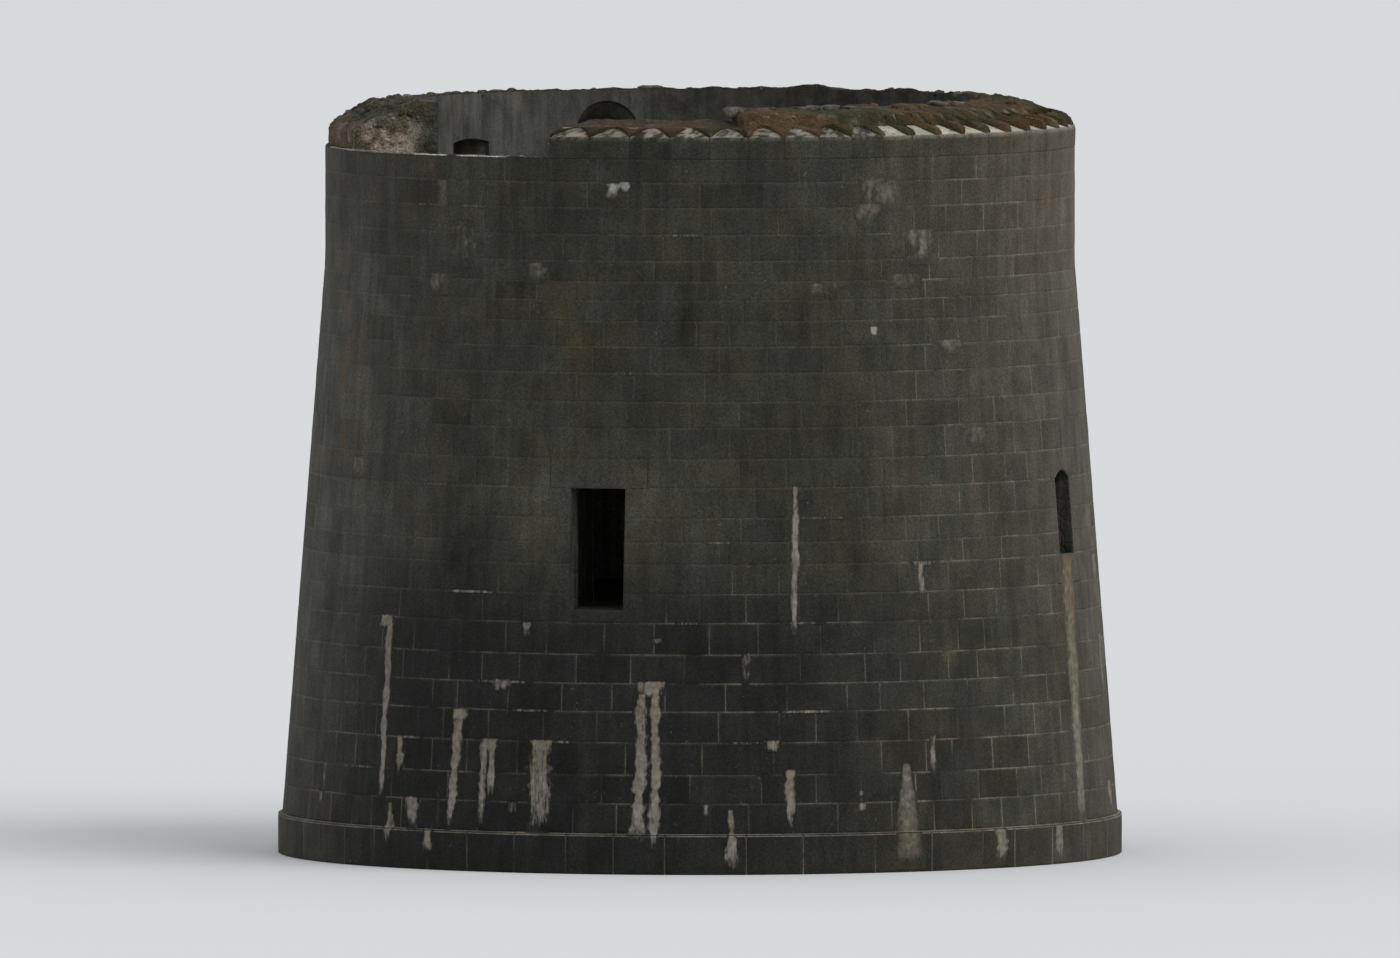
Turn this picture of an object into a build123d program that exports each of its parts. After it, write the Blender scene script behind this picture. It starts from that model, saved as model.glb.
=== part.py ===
from build123d import *
import os
from math import cos, radians, sin, sqrt

# A round coastal gun tower of battered ashlar, as it stands today: a bare doorway at the
# first floor, two splayed windows, a vault under the gun platform, and a thick parapet
# with a sloping top that has lost its coping and a length of its core on the door side.
# Millimetres. The origin is the middle of the base at ground level, +Z is up and the
# doorway faces -Y. A bearing is an angle in plan, in degrees, from the doorway
# towards +X. Wall outlines are lists of (radius, height).

# Storeys, from the ground up
plinth_height = 600
ground_storey_height = 3330
upper_storey_height = 5540
parapet_wall_height = 1190
coping_height = 300
crest_height = 390

# Radii of the walls
plinth_ledge_width = 65
plinth_chamfer_width = 35
foot_radius = 6290
top_radius = 5640
upright_face_height = 540
ground_room_radius = 3850
upper_room_radius = 4000
parapet_thickness = 1440
coping_width = 450
coping_rise_height = 140
bank_width = 170
bank_height = 310

# Vault and gun platform
vault_springing_height = 2970
vault_height = 1800
vault_seat_width = 350
paving_thickness = 150
paving_tuck_width = 200

# Timber first floor
board_thickness = 35
joist_width = 100
joist_depth = 250
joist_spacing = 520
joist_clearance = 15
beam_width = 300
beam_depth = 320
beam_end_length = 250
beam_clearance = 10

# Doorway, at the first floor
door_width = 840
door_height = 1810
door_frame_depth = 420
door_passage_width = 1180
door_passage_height = 2040
door_arch_height = 180
lintel_height = 440
lintel_end_length = 330
door_sill_height = 190
door_sill_end_length = 180

# Windows, one each side of the doorway
window_bearing = 82.3
window_sill_above_floor_height = 680
window_width = 550
window_height = 1260
window_arch_height = 130
window_throat_depth = 300
window_inner_width = 1150
window_inner_lift_height = 220
window_inner_drop_height = 240
window_stone_end_length = 150
window_stone_depth = 260
window_sill_height = 440
window_head_cover_height = 320

# Stair head, an arched doorway in the inner face of the parapet
stair_bearing = -145.3
stair_stretch_angle = 33
stair_width = 1030
stair_crown_cover_height = 130
stair_depth = 850
stair_inner_width = 900
stair_ceiling_fall_height = 420
stair_splay_lead_depth = 40

# Ammunition recess in the inner face of the parapet
recess_bearing = -108.9
recess_step_height = 300
recess_width = 950
recess_height = 900
recess_arch_height = 60
recess_depth = 800

# Damage to the parapet on the door side
coping_loss_start = -92
breach_start = -54.4
breach_end = -8.4
worn_crest_end = 22
worn_crest_loss_height = 180
worn_hollow_depth = 50
rubble_ledge_width = 70
rubble_face_height = 290
breach_fall_height = 140

# Levels and radii that follow from the sizes above
floor_level = plinth_height + ground_storey_height
platform_level = floor_level + upper_storey_height
coping_bed = platform_level + parapet_wall_height
rim_level = coping_bed + coping_height
crest_level = rim_level + crest_height
springing_level = floor_level + vault_springing_height
paving_bed = platform_level - paving_thickness
vault_radius = upper_room_radius + vault_seat_width
vault_crown = springing_level + vault_height
batter_top_level = platform_level - upright_face_height
parapet_inner_radius = top_radius - parapet_thickness
paving_radius = parapet_inner_radius + paving_tuck_width
joist_reach = upper_room_radius - joist_clearance
joist_bed = floor_level - board_thickness - joist_depth
beam_bed = joist_bed - beam_depth
beam_pocket_reach = ground_room_radius + beam_end_length
plinth_radius = foot_radius + plinth_ledge_width
door_head = floor_level + door_height
window_sill = floor_level + window_sill_above_floor_height
window_crown = window_sill + window_height
coping_inner_radius = top_radius - coping_width
coping_crest = rim_level + coping_rise_height
bank_radius = coping_inner_radius - bank_width
bank_level = rim_level + bank_height
full_turn = 360
quarter_turn = 90
side_starts = {"front": -45, "right": 45, "back": 135, "left": 225}


def wall_radius(level):
    """The outer radius of the wall where it leans in, between the plinth and its upright top."""
    share = (level - plinth_height) / (batter_top_level - plinth_height)
    return foot_radius + share * (top_radius - foot_radius)


def flat_face_radius(radius, width):
    """How far out a flat face of a width still lies inside a round face of a radius."""
    return sqrt(radius**2 - (width / 2) ** 2)


def radial_plane(bearing):
    """The upright plane through the axis, with X pointing out along a bearing and Y up."""
    turn = radians(bearing)
    return Plane(
        origin=(0, 0, 0),
        x_dir=(sin(turn), -cos(turn), 0),
        z_dir=(-cos(turn), -sin(turn), 0),
    )


def facing_plane(bearing, radius, level):
    """A plane that faces out along a bearing, at a radius and a height, with Y up."""
    turn = radians(bearing)
    return Plane(
        origin=(radius * sin(turn), -radius * cos(turn), level),
        x_dir=(cos(turn), sin(turn), 0),
        z_dir=(sin(turn), -cos(turn), 0),
    )


def sweep_wall(outline, start, end):
    """Adds a stretch of round wall: its outline, swept from one bearing to another."""
    with BuildSketch(radial_plane(start)) as section:
        with BuildLine():
            Polyline(*outline, close=True)
        make_face()
    revolve(section.sketch, axis=Axis.Z, revolution_arc=end - start)


def square_face(plane, width, height):
    """An upright rectangle. The plane's origin is the middle of its lower edge."""
    with BuildSketch(plane) as face:
        with Locations((0, height / 2)):
            Rectangle(width, height)
    return face.sketch


def arched_face(plane, width, height, rise):
    """An upright face with a curved head. The plane's origin is the middle of its sill."""
    left = -width / 2
    right = width / 2
    shoulder = height - rise
    with BuildSketch(plane) as face:
        with BuildLine():
            Polyline((left, shoulder), (left, 0), (right, 0), (right, shoulder))
            ThreePointArc((right, shoulder), (0, height), (left, shoulder))
        make_face()
    return face.sketch


def stone_block(bearing, inner_radius, bottom, width, height):
    """A block that runs out from a radius, past the outer face of the wall."""
    face = square_face(facing_plane(bearing, inner_radius, bottom), width, height)
    with BuildPart() as block:
        extrude(face, amount=plinth_radius - inner_radius)
    return block.part


def window_void(bearing):
    """A window: a straight throat at the outer face, splayed towards the room."""
    throat_radius = wall_radius(window_crown) - window_throat_depth
    room_radius = flat_face_radius(upper_room_radius, window_inner_width)
    narrow = arched_face(
        facing_plane(bearing, throat_radius, window_sill),
        window_width,
        window_height,
        window_arch_height,
    )
    wide = arched_face(
        facing_plane(bearing, room_radius, window_sill - window_inner_drop_height),
        window_inner_width,
        window_height + window_inner_lift_height + window_inner_drop_height,
        window_arch_height,
    )
    with BuildPart() as void:
        extrude(narrow, amount=plinth_radius - throat_radius)
        loft([narrow, wide])
        extrude(wide, amount=-room_radius)
    return void.part


def write_piece(piece, name):
    """Labels a finished piece with its name and writes its file."""
    piece.part.label = name
    export_step(piece.part, f"parts/{name}.step")


os.makedirs("parts", exist_ok=True)

# Plinth, in quarters centred on the four sides, around a solid ground floor

plinth_outline = [
    (ground_room_radius, 0),
    (plinth_radius, 0),
    (plinth_radius, plinth_height - plinth_chamfer_width),
    (plinth_radius - plinth_chamfer_width, plinth_height),
    (ground_room_radius, plinth_height),
]

for side, start in side_starts.items():
    with BuildPart() as plinth:
        sweep_wall(plinth_outline, start, start + quarter_turn)
    write_piece(plinth, f"plinth_{side}")

with BuildPart() as ground_floor:
    with BuildSketch():
        Circle(ground_room_radius)
    extrude(amount=plinth_height)
write_piece(ground_floor, "ground_floor")

# Timber first floor: a beam let into the side walls, joists across it, and boards

with BuildPart() as floor_beam:
    with BuildSketch(Plane.XY.offset(beam_bed)):
        Rectangle(2 * (beam_pocket_reach - beam_clearance), beam_width)
    extrude(amount=beam_depth)
write_piece(floor_beam, "first_floor_beam")

with BuildPart() as beam_pocket:
    with BuildSketch(Plane.XY.offset(beam_bed)):
        Rectangle(2 * beam_pocket_reach, beam_width + 2 * beam_clearance)
    extrude(amount=beam_depth)

joists_a_side = int((joist_reach - joist_width) // joist_spacing)

with BuildPart() as floor_joists:
    for row in range(-joists_a_side, joists_a_side + 1):
        outer_edge = abs(row) * joist_spacing + joist_width / 2
        joist_length = 2 * flat_face_radius(joist_reach, 2 * outer_edge)
        with BuildSketch(Plane.XY.offset(joist_bed)):
            with Locations((row * joist_spacing, 0)):
                Rectangle(joist_width, joist_length)
        extrude(amount=joist_depth)
write_piece(floor_joists, "first_floor_joists")

with BuildPart() as floor_boards:
    with BuildSketch(Plane.XY.offset(floor_level - board_thickness)):
        Circle(joist_reach)
    extrude(amount=board_thickness)
write_piece(floor_boards, "first_floor_boards")

# Ground-storey wall, with a ledge for the joists, pockets for the beam and the door sill

lower_outline = [
    (ground_room_radius, plinth_height),
    (foot_radius, plinth_height),
    (wall_radius(floor_level), floor_level),
    (upper_room_radius, floor_level),
    (upper_room_radius, joist_bed),
    (ground_room_radius, joist_bed),
]

door_sill_block = stone_block(
    0,
    wall_radius(floor_level) - door_frame_depth,
    floor_level - door_sill_height,
    door_width + 2 * door_sill_end_length,
    door_sill_height,
)

for side, start in side_starts.items():
    with BuildPart() as lower_wall:
        sweep_wall(lower_outline, start, start + quarter_turn)
        add(beam_pocket.part, mode=Mode.SUBTRACT)
        if side == "front":
            add(door_sill_block, mode=Mode.SUBTRACT)
    write_piece(lower_wall, f"lower_wall_{side}")

with BuildPart() as door_sill:
    sweep_wall(lower_outline, side_starts["front"], side_starts["front"] + quarter_turn)
    add(door_sill_block, mode=Mode.INTERSECT)
write_piece(door_sill, "door_sill")

# Upper wall: the front quarter, cut by the doorway and its wider passage, in three pieces

upper_outline = [
    (upper_room_radius, floor_level),
    (wall_radius(floor_level), floor_level),
    (top_radius, batter_top_level),
    (top_radius, platform_level),
    (paving_radius, platform_level),
    (paving_radius, paving_bed),
    (vault_radius, paving_bed),
    (vault_radius, springing_level),
    (upper_room_radius, springing_level),
]

door_frame_radius = wall_radius(door_head) - door_frame_depth
door_frame_plane = facing_plane(0, door_frame_radius, floor_level)
door_face = square_face(door_frame_plane, door_width, door_height)
passage_face = arched_face(
    door_frame_plane, door_passage_width, door_passage_height, door_arch_height
)

with BuildPart() as doorway:
    extrude(door_face, amount=plinth_radius - door_frame_radius)
    extrude(passage_face, amount=-door_frame_radius)

lintel_block = stone_block(
    0, door_frame_radius, door_head, door_width + 2 * lintel_end_length, lintel_height
)

with BuildPart() as front_wall:
    sweep_wall(upper_outline, side_starts["front"], side_starts["front"] + quarter_turn)

with BuildPart() as door_lintel:
    add(front_wall.part)
    add(lintel_block, mode=Mode.INTERSECT)
write_piece(door_lintel, "door_lintel")

# Each piece of the front quarter: where it starts in X and in Z, and how wide it is
front_pieces = {
    "front_wall_left_of_door": (-plinth_radius, floor_level, plinth_radius - door_width / 2),
    "front_wall_over_door": (-door_width / 2, door_head, door_width),
    "front_wall_right_of_door": (door_width / 2, floor_level, plinth_radius - door_width / 2),
}

for name, (left_edge, bottom, width) in front_pieces.items():
    with BuildPart() as front_piece:
        with BuildSketch(Plane.XY.offset(bottom)):
            with Locations((left_edge, -plinth_radius)):
                Rectangle(width, plinth_radius, align=(Align.MIN, Align.MIN))
        extrude(amount=platform_level - bottom)
        add(front_wall.part, mode=Mode.INTERSECT)
        add(doorway.part, mode=Mode.SUBTRACT)
        add(lintel_block, mode=Mode.SUBTRACT)
    write_piece(front_piece, name)

# Upper wall: the back quarter, and the side quarters with their windows and dressed stones

with BuildPart() as upper_wall_back:
    sweep_wall(upper_outline, side_starts["back"], side_starts["back"] + quarter_turn)
write_piece(upper_wall_back, "upper_wall_back")

window_stone_radius = wall_radius(window_crown) - window_stone_depth
window_stone_width = window_width + 2 * window_stone_end_length
window_head_bed = window_crown - window_arch_height

for side, bearing in {"right": window_bearing, "left": -window_bearing}.items():
    void = window_void(bearing)
    sill_block = stone_block(
        bearing,
        window_stone_radius,
        window_sill - window_sill_height,
        window_stone_width,
        window_sill_height,
    )
    head_block = stone_block(
        bearing,
        window_stone_radius,
        window_head_bed,
        window_stone_width,
        window_arch_height + window_head_cover_height,
    )
    with BuildPart() as side_wall:
        sweep_wall(upper_outline, side_starts[side], side_starts[side] + quarter_turn)

    with BuildPart() as window_sill_stone:
        add(side_wall.part)
        add(sill_block, mode=Mode.INTERSECT)
    write_piece(window_sill_stone, f"window_sill_{side}")

    with BuildPart() as window_head_stone:
        add(side_wall.part)
        add(head_block, mode=Mode.INTERSECT)
        add(void, mode=Mode.SUBTRACT)
    write_piece(window_head_stone, f"window_head_{side}")

    with BuildPart() as upper_wall:
        add(side_wall.part)
        add(void, mode=Mode.SUBTRACT)
        add(sill_block, mode=Mode.SUBTRACT)
        add(head_block, mode=Mode.SUBTRACT)
    write_piece(upper_wall, f"upper_wall_{side}")

# Vault over the upper room, a shallow dome in quarters with its back filled level, and the
# paving of the gun platform on it

for side, start in side_starts.items():
    with BuildPart() as vault:
        with BuildSketch(radial_plane(start)):
            with BuildLine():
                Polyline(
                    (0, vault_crown),
                    (0, paving_bed),
                    (vault_radius, paving_bed),
                    (vault_radius, springing_level),
                    (upper_room_radius, springing_level),
                )
                TangentArc(
                    (0, vault_crown), (upper_room_radius, springing_level), tangent=(1, 0)
                )
            make_face()
        revolve(axis=Axis.Z, revolution_arc=quarter_turn)
    write_piece(vault, f"vault_{side}")

with BuildPart() as platform_paving:
    with BuildSketch(Plane.XY.offset(paving_bed)):
        Circle(paving_radius)
    extrude(amount=paving_thickness)
write_piece(platform_paving, "gun_platform_paving")

# Parapet: a thick wall whose top rises steeply behind the coping, and gently to an inner crest

parapet_foot = [
    (parapet_inner_radius, platform_level),
    (top_radius, platform_level),
    (top_radius, coping_bed),
    (coping_inner_radius, coping_bed),
]

whole_outline = parapet_foot + [
    (coping_inner_radius, coping_crest),
    (bank_radius, bank_level),
    (parapet_inner_radius, crest_level),
]

# The crest is worn down behind the coping that is left beside the breach
worn_outline = parapet_foot + [
    (coping_inner_radius, coping_crest - worn_hollow_depth),
    (
        (parapet_inner_radius + coping_inner_radius) / 2,
        crest_level - worn_crest_loss_height - worn_hollow_depth,
    ),
    (parapet_inner_radius, crest_level - worn_crest_loss_height),
]

# Where only the coping is lost, the rubble core stands behind a ledge as high as the coping was
rubble_outline = [
    (parapet_inner_radius, platform_level),
    (top_radius, platform_level),
    (top_radius, coping_bed),
    (top_radius - rubble_ledge_width, coping_bed),
    (top_radius - rubble_ledge_width, coping_bed + rubble_face_height),
    (bank_radius, bank_level),
    (parapet_inner_radius, crest_level),
]

breach_outline = [
    (parapet_inner_radius, platform_level),
    (top_radius, platform_level),
    (top_radius, coping_bed),
    (coping_inner_radius, coping_bed - worn_hollow_depth),
    (parapet_inner_radius, coping_bed - breach_fall_height),
]

# Stair head: an arched way in, which narrows and falls from just in front of the wall's face
stair_height = crest_level - stair_crown_cover_height - platform_level
stair_face_radius = flat_face_radius(parapet_inner_radius, stair_width) - stair_splay_lead_depth
stair_mouth = arched_face(
    facing_plane(stair_bearing, stair_face_radius, platform_level),
    stair_width,
    stair_height,
    stair_width / 2,
)
stair_end = arched_face(
    facing_plane(stair_bearing, stair_face_radius + stair_depth, platform_level),
    stair_inner_width,
    stair_height - stair_ceiling_fall_height,
    stair_inner_width / 2,
)
with BuildPart() as stair_void:
    extrude(stair_mouth, amount=-stair_face_radius)
    loft([stair_mouth, stair_end])

recess_face_radius = flat_face_radius(parapet_inner_radius, recess_width)
recess_mouth = arched_face(
    facing_plane(recess_bearing, recess_face_radius, platform_level + recess_step_height),
    recess_width,
    recess_height,
    recess_arch_height,
)
with BuildPart() as recess_void:
    extrude(recess_mouth, amount=-recess_face_radius)
    extrude(recess_mouth, amount=recess_depth)

stair_stretch_start = stair_bearing - stair_stretch_angle / 2
stair_stretch_end = stair_bearing + stair_stretch_angle / 2
whole_names = ["front_right", "right", "back_right", "back"]
whole_stretch = (stair_stretch_start + full_turn - worn_crest_end) / len(whole_names)

# Each stretch of parapet: its outline and the bearings that it starts and ends at
parapet_stretches = {
    "broken": (rubble_outline, coping_loss_start, breach_start),
    "breach": (breach_outline, breach_start, breach_end),
    "front": (worn_outline, breach_end, worn_crest_end),
    "stair_head": (whole_outline, stair_stretch_start, stair_stretch_end),
    "left": (whole_outline, stair_stretch_end, coping_loss_start),
}
for place, name in enumerate(whole_names):
    stretch_start = worn_crest_end + place * whole_stretch
    parapet_stretches[name] = (whole_outline, stretch_start, stretch_start + whole_stretch)

for name, (outline, start, end) in parapet_stretches.items():
    with BuildPart() as parapet:
        sweep_wall(outline, start, end)
        add(stair_void.part, mode=Mode.SUBTRACT)
        add(recess_void.part, mode=Mode.SUBTRACT)
    write_piece(parapet, f"parapet_{name}")

# Coping: the course along the rim, from the breach round to where it is lost

coping_outline = [
    (coping_inner_radius, coping_bed),
    (top_radius, coping_bed),
    (top_radius, rim_level),
    (coping_inner_radius, coping_crest),
]

coping_stretches = {
    "front": (breach_end, side_starts["right"]),
    "right": (side_starts["right"], side_starts["back"]),
    "back": (side_starts["back"], side_starts["left"]),
    "left": (side_starts["left"], coping_loss_start + full_turn),
}

for side, (start, end) in coping_stretches.items():
    with BuildPart() as coping:
        sweep_wall(coping_outline, start, end)
    write_piece(coping, f"coping_{side}")
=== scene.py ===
import random
import bmesh
import bpy
from itertools import pairwise
from math import asin, atan2, cos, degrees, dist, exp, hypot, radians, sin, sqrt, tau
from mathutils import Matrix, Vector, noise


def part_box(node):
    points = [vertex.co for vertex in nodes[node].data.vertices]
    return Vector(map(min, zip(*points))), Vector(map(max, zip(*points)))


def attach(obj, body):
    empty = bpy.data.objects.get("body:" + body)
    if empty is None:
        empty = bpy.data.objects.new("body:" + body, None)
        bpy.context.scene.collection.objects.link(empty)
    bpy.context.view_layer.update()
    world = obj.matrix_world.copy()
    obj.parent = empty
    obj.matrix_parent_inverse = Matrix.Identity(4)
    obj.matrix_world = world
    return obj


# The looks of a round coastal gun tower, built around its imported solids: squared stone with
# lime joints and lime runs, coping stones, an earth and rubble parapet top, paving, boards
# and the stage. Metres, in the frame of the solids. A bearing is an angle in plan, in
# degrees, from the doorway (-Y) towards +X.

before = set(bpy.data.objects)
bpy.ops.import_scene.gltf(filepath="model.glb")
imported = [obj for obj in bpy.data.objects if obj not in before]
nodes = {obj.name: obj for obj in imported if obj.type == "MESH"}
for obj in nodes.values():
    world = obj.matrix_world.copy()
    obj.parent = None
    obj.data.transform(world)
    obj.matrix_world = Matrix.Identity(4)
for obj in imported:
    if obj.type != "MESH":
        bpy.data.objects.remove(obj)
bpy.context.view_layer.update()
draw = random.Random(1804)
scene = bpy.context.scene
up = Vector((0, 0, 1))

# Sizes read from the solids


def radii(node):
    """The distance of each point of a solid from the tower's axis."""
    return [vertex.co.xy.length for vertex in nodes[node].data.vertices]


plinth_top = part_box("plinth_front")[1].z
plinth_radius = -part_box("plinth_front")[0].y
foot_radius = -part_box("lower_wall_front")[0].y
floor_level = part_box("first_floor_boards")[1].z
platform_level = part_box("gun_platform_paving")[1].z
coping_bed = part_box("coping_right")[0].z
coping_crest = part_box("coping_right")[1].z
crest_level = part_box("parapet_back")[1].z
top_radius = max(radii("coping_right"))
coping_inner_radius = min(radii("coping_right"))
parapet_inner_radius = min(radii("parapet_back"))
upper_room_radius = max(radii("first_floor_boards"))
door_half_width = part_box("front_wall_over_door")[1].x
door_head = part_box("door_lintel")[0].z
lintel_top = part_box("door_lintel")[1].z
lintel_half_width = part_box("door_lintel")[1].x
door_sill_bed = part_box("door_sill")[0].z
door_sill_half_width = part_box("door_sill")[1].x
window_sill_bed, window_sill = (corner.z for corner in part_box("window_sill_right"))
window_head_bed, window_head_top = (corner.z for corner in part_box("window_head_right"))
rim_level = max(
    vertex.co.z for vertex in nodes["coping_right"].data.vertices
    if vertex.co.xy.length > top_radius - 0.002
)

# Sizes that repeat the solids' own, where a box doesn't show them
upright_face_height = 0.54
plinth_chamfer = 0.035
window_bearing = 82.3
window_width = 0.55
window_arch_height = 0.13
window_stone_half_width = 0.425
coping_loss_start = -92
breach_start = -54.4
breach_end = -8.4
worn_crest_end = 22
worn_crest_level = crest_level - 0.18
rubble_ledge_width = 0.07
rubble_face_height = 0.29
bank_radius = coping_inner_radius - 0.17
bank_level = rim_level + 0.31
batter_top = platform_level - upright_face_height
chamfer_start = plinth_top - plinth_chamfer

# The levels of the bed joints, from the plinth up to the coping
course_heights = [
    0.45, 0.43, 0.48, 0.46, 0.42, 0.43, 0.47, 0.43, 0.44, 0.33, 0.36, 0.45, 0.43,
    0.46, 0.39, 0.43, 0.39, 0.38, 0.31, 0.28, 0.31, 0.39, 0.4, 0.38,
]
bed_levels = [plinth_top + sum(course_heights[:k]) for k in range(len(course_heights) + 1)]
joint_width = 0.014
block_proud = 0.008
block_bevel = 0.006
block_sink = 0.006
block_step = 0.15
block_relief = 0.0035
mortar_proud = 0.006
joint_stagger = 0.13
shortest_block = 0.42
usual_block = 0.72
longest_block = 1.05

# Colours, as linear red, green and blue
DRY_STONE = Vector((0.068, 0.063, 0.052))
GREY_STONE = Vector((0.06, 0.0595, 0.052))
WARM_STONE = Vector((0.082, 0.07, 0.051))
DAMP_STONE = Vector((0.03, 0.0302, 0.024))
FOOT_STONE = Vector((0.0141, 0.0149, 0.0136))
# Dark stone. The same colour serves as painted shade on the far crest's earth and, in part, on the
# parapet's inner face.
DARK_STONE_AND_SHADE = Vector((0.026, 0.026, 0.024))
SLAB_STONE = Vector((0.08, 0.08, 0.06))
LIME = Vector((0.185, 0.175, 0.144))
BRIGHT_LIME = Vector((0.28, 0.27, 0.24))
RUSTY_LIME = Vector((0.15, 0.112, 0.072))
JOINT_LIME = Vector((0.118, 0.112, 0.088))
RUST_LICHEN = Vector((0.09, 0.058, 0.026))
PINK_LICHEN = Vector((0.16, 0.138, 0.115))
WHITE_LICHEN = Vector((0.4, 0.385, 0.34))
GREY_LICHEN = Vector((0.205, 0.188, 0.155))
EARTH = Vector((0.056, 0.036, 0.017))
LIMB_EARTH = Vector((0.066, 0.052, 0.035))
MOSS = Vector((0.032, 0.031, 0.014))
RUBBLE = Vector((0.17, 0.15, 0.125))
LIMEWASH = Vector((0.42, 0.41, 0.38))

# Small tools


def clamp(value):
    return min(1, max(0, value))


def smooth(value, start, end):
    """0 at start, 1 at end, and an even rise between them."""
    share = clamp((value - start) / (end - start))
    return share * share * (3 - 2 * share)


def blend(a, b, share):
    return a + (b - a) * share


def steps(start, end, count):
    """Even steps from start to end, with both."""
    return [blend(start, end, k / count) for k in range(count + 1)]


def outward(bearing):
    turn = radians(bearing)
    return Vector((sin(turn), -cos(turn), 0))


def at(bearing, radius, level):
    """The point at a bearing, a distance from the axis and a height."""
    turn = radians(bearing)
    return Vector((radius * sin(turn), -radius * cos(turn), level))


def bearing_of(place):
    return degrees(atan2(place.x, -place.y))


def signed(bearing):
    """The same bearing, from -180 to 180."""
    return (bearing + 180) % 360 - 180


def wall_radius(level):
    """The outer radius of the solid wall at a height."""
    if level < plinth_top - 0.001:
        return plinth_radius
    share = min(1, (level - plinth_top) / (batter_top - plinth_top))
    return foot_radius + (top_radius - foot_radius) * share


def half_angle(half_width, level):
    """Half the angle that a flat opening's width takes up on the wall."""
    return degrees(asin(half_width / wall_radius(level)))


def grain(point, scale, drop=1):
    """Even noise from -1 to 1. A drop under 1 draws it out downwards."""
    return noise.noise(Vector((point.x * scale, point.y * scale, point.z * scale * drop)))


def gritty(colour, base, coarse, fine):
    """The colour with lighter and darker grit. coarse and fine each hold a strength and a scale."""
    return colour * (1 + coarse[0] * grain(base, coarse[1]) + fine[0] * grain(base, fine[1]))


# Meshes


class Shape:
    """Faces, and points with their colour, cover and crust colour, gathered for one mesh."""

    def __init__(self):
        self.points = []
        self.faces = []

    def point(self, place, colour, cover=0.0, crust=LIME):
        self.points.append((place, colour, cover, crust))
        return len(self.points) - 1

    def grid(self, rows, closed=False):
        """Joins rows of point numbers into quads, and closes the back if asked."""
        for low, high in pairwise(rows):
            for k in range(len(low) - 1):
                self.faces.append((low[k], low[k + 1], high[k + 1], high[k]))
        if closed:
            ring = rows[0] + [row[-1] for row in rows[1:]]
            ring += rows[-1][-2::-1] + [row[0] for row in rows[-2:0:-1]]
            self.faces.append(tuple(reversed(ring)))

    def sheet(self, ups, alongs, place):
        """Adds a sheet of quads. place(up, along) gives a point and its colour."""
        self.grid([[self.point(*place(up, along)) for along in alongs] for up in ups])

    def build(self, name, material, slot, sharp=55):
        places, colours, covers, crusts = zip(*self.points)
        mesh = bpy.data.meshes.new(name)
        mesh.from_pydata(places, [], self.faces)
        for label, tints in (("stone_colour", colours), ("crust_colour", crusts)):
            colour = mesh.color_attributes.new(label, "FLOAT_COLOR", "POINT")
            colour.data.foreach_set("color", [c for tint in tints for c in (*tint, 1.0)])
        mesh.attributes.new("cover", "FLOAT", "POINT").data.foreach_set("value", covers)
        mesh.shade_smooth()
        mesh.set_sharp_from_angle(angle=radians(sharp))
        mesh.materials.append(material)
        piece = bpy.data.objects.new(name, mesh)
        scene.collection.objects.link(piece)
        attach(piece, "root")


def cut_lines(length, bevel, step, folds=()):
    """Where a stone's grid lines fall, as shares of its length, with doubled outer lines."""
    ends = [0, 0, bevel / length, min(0.3, 5 * bevel / length)]
    inner = max(1, round((length - 10 * bevel) / step))
    middle = [ends[-1] + (1 - 2 * ends[-1]) * k / inner for k in range(1, inner)]
    return sorted(ends + middle + [1 - share for share in ends] + list(folds))


def add_stone_face(shape, length, height, place, colour, proud, bevel, sink, step, relief, folds=()):
    """Adds one squared stone. place(u, v) gives a point of its bed surface and the way out."""
    across = cut_lines(length, bevel, step)
    upward = cut_lines(height, bevel, step, folds)
    rows = []
    for j, v in enumerate(upward):
        row = []
        for i, u in enumerate(across):
            ring = min(i, j, len(across) - 1 - i, len(upward) - 1 - j)
            base, out = place(u, v)
            if ring == 0:
                depth = -sink
            elif ring == 1:
                depth = proud - bevel
            else:
                crown = 4 * relief * u * (1 - u) * 4 * v * (1 - v)
                depth = proud + crown * 0.6 + relief * grain(base, 3.1)
            row.append(shape.point(base + out * depth, colour(base, ring, v)))
        rows.append(row)
    shape.grid(rows, closed=True)


# The colour of the weathered wall. Each mark: bearing, level, half its width in degrees, half
# its height, how much it lightens (or darkens, below 0) and its tint or None
WALL_MARKS = [
    (-21, 4.7, 5, 0.65, -0.5, None),
    (-9, 5.4, 6, 0.75, 0.62, None),
    (8.5, 5.5, 8, 0.75, 0.52, None),
    (1, 2.9, 4, 0.9, 0.22, None),
    (-20.5, 9.7, 2.2, 0.9, 0.3, None),
    (36.5, 5.5, 0.7, 0.8, -0.22, None),
    (38.5, 4.65, 1.4, 0.35, -0.3, None),
    (12.7, 8.35, 1.5, 0.48, -0.75, None),
    (-7.6, 8.72, 1.4, 0.14, 0.04, RUST_LICHEN),
    (-6.4, 8.3, 1.2, 0.26, 0.02, RUST_LICHEN),
    (-3.6, 7.9, 1.2, 0.3, 0, RUST_LICHEN),
    (-31, 10.5, 0.9, 0.12, 0.25, RUST_LICHEN),
    (-53, 8.35, 1.6, 0.2, 0.05, RUST_LICHEN),
    (-52.5, 7.5, 1.4, 0.5, 0.02, RUST_LICHEN),
    (-51.5, 6.4, 1.7, 0.2, 0.04, RUST_LICHEN),
    (52.5, 3.2, 1.2, 0.12, 0.35, RUST_LICHEN),
    (-55, 2.25, 1.8, 0.2, -0.35, None),
]


def weather_side(bearing):
    """1 on the dark, damp side that faces the weather, 0 on the dry sides."""
    right = 1 - 0.28 * smooth(bearing, 34, 48) - 0.72 * smooth(bearing, 46, 100)
    return min(smooth(bearing, -80, -6), right)


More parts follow.
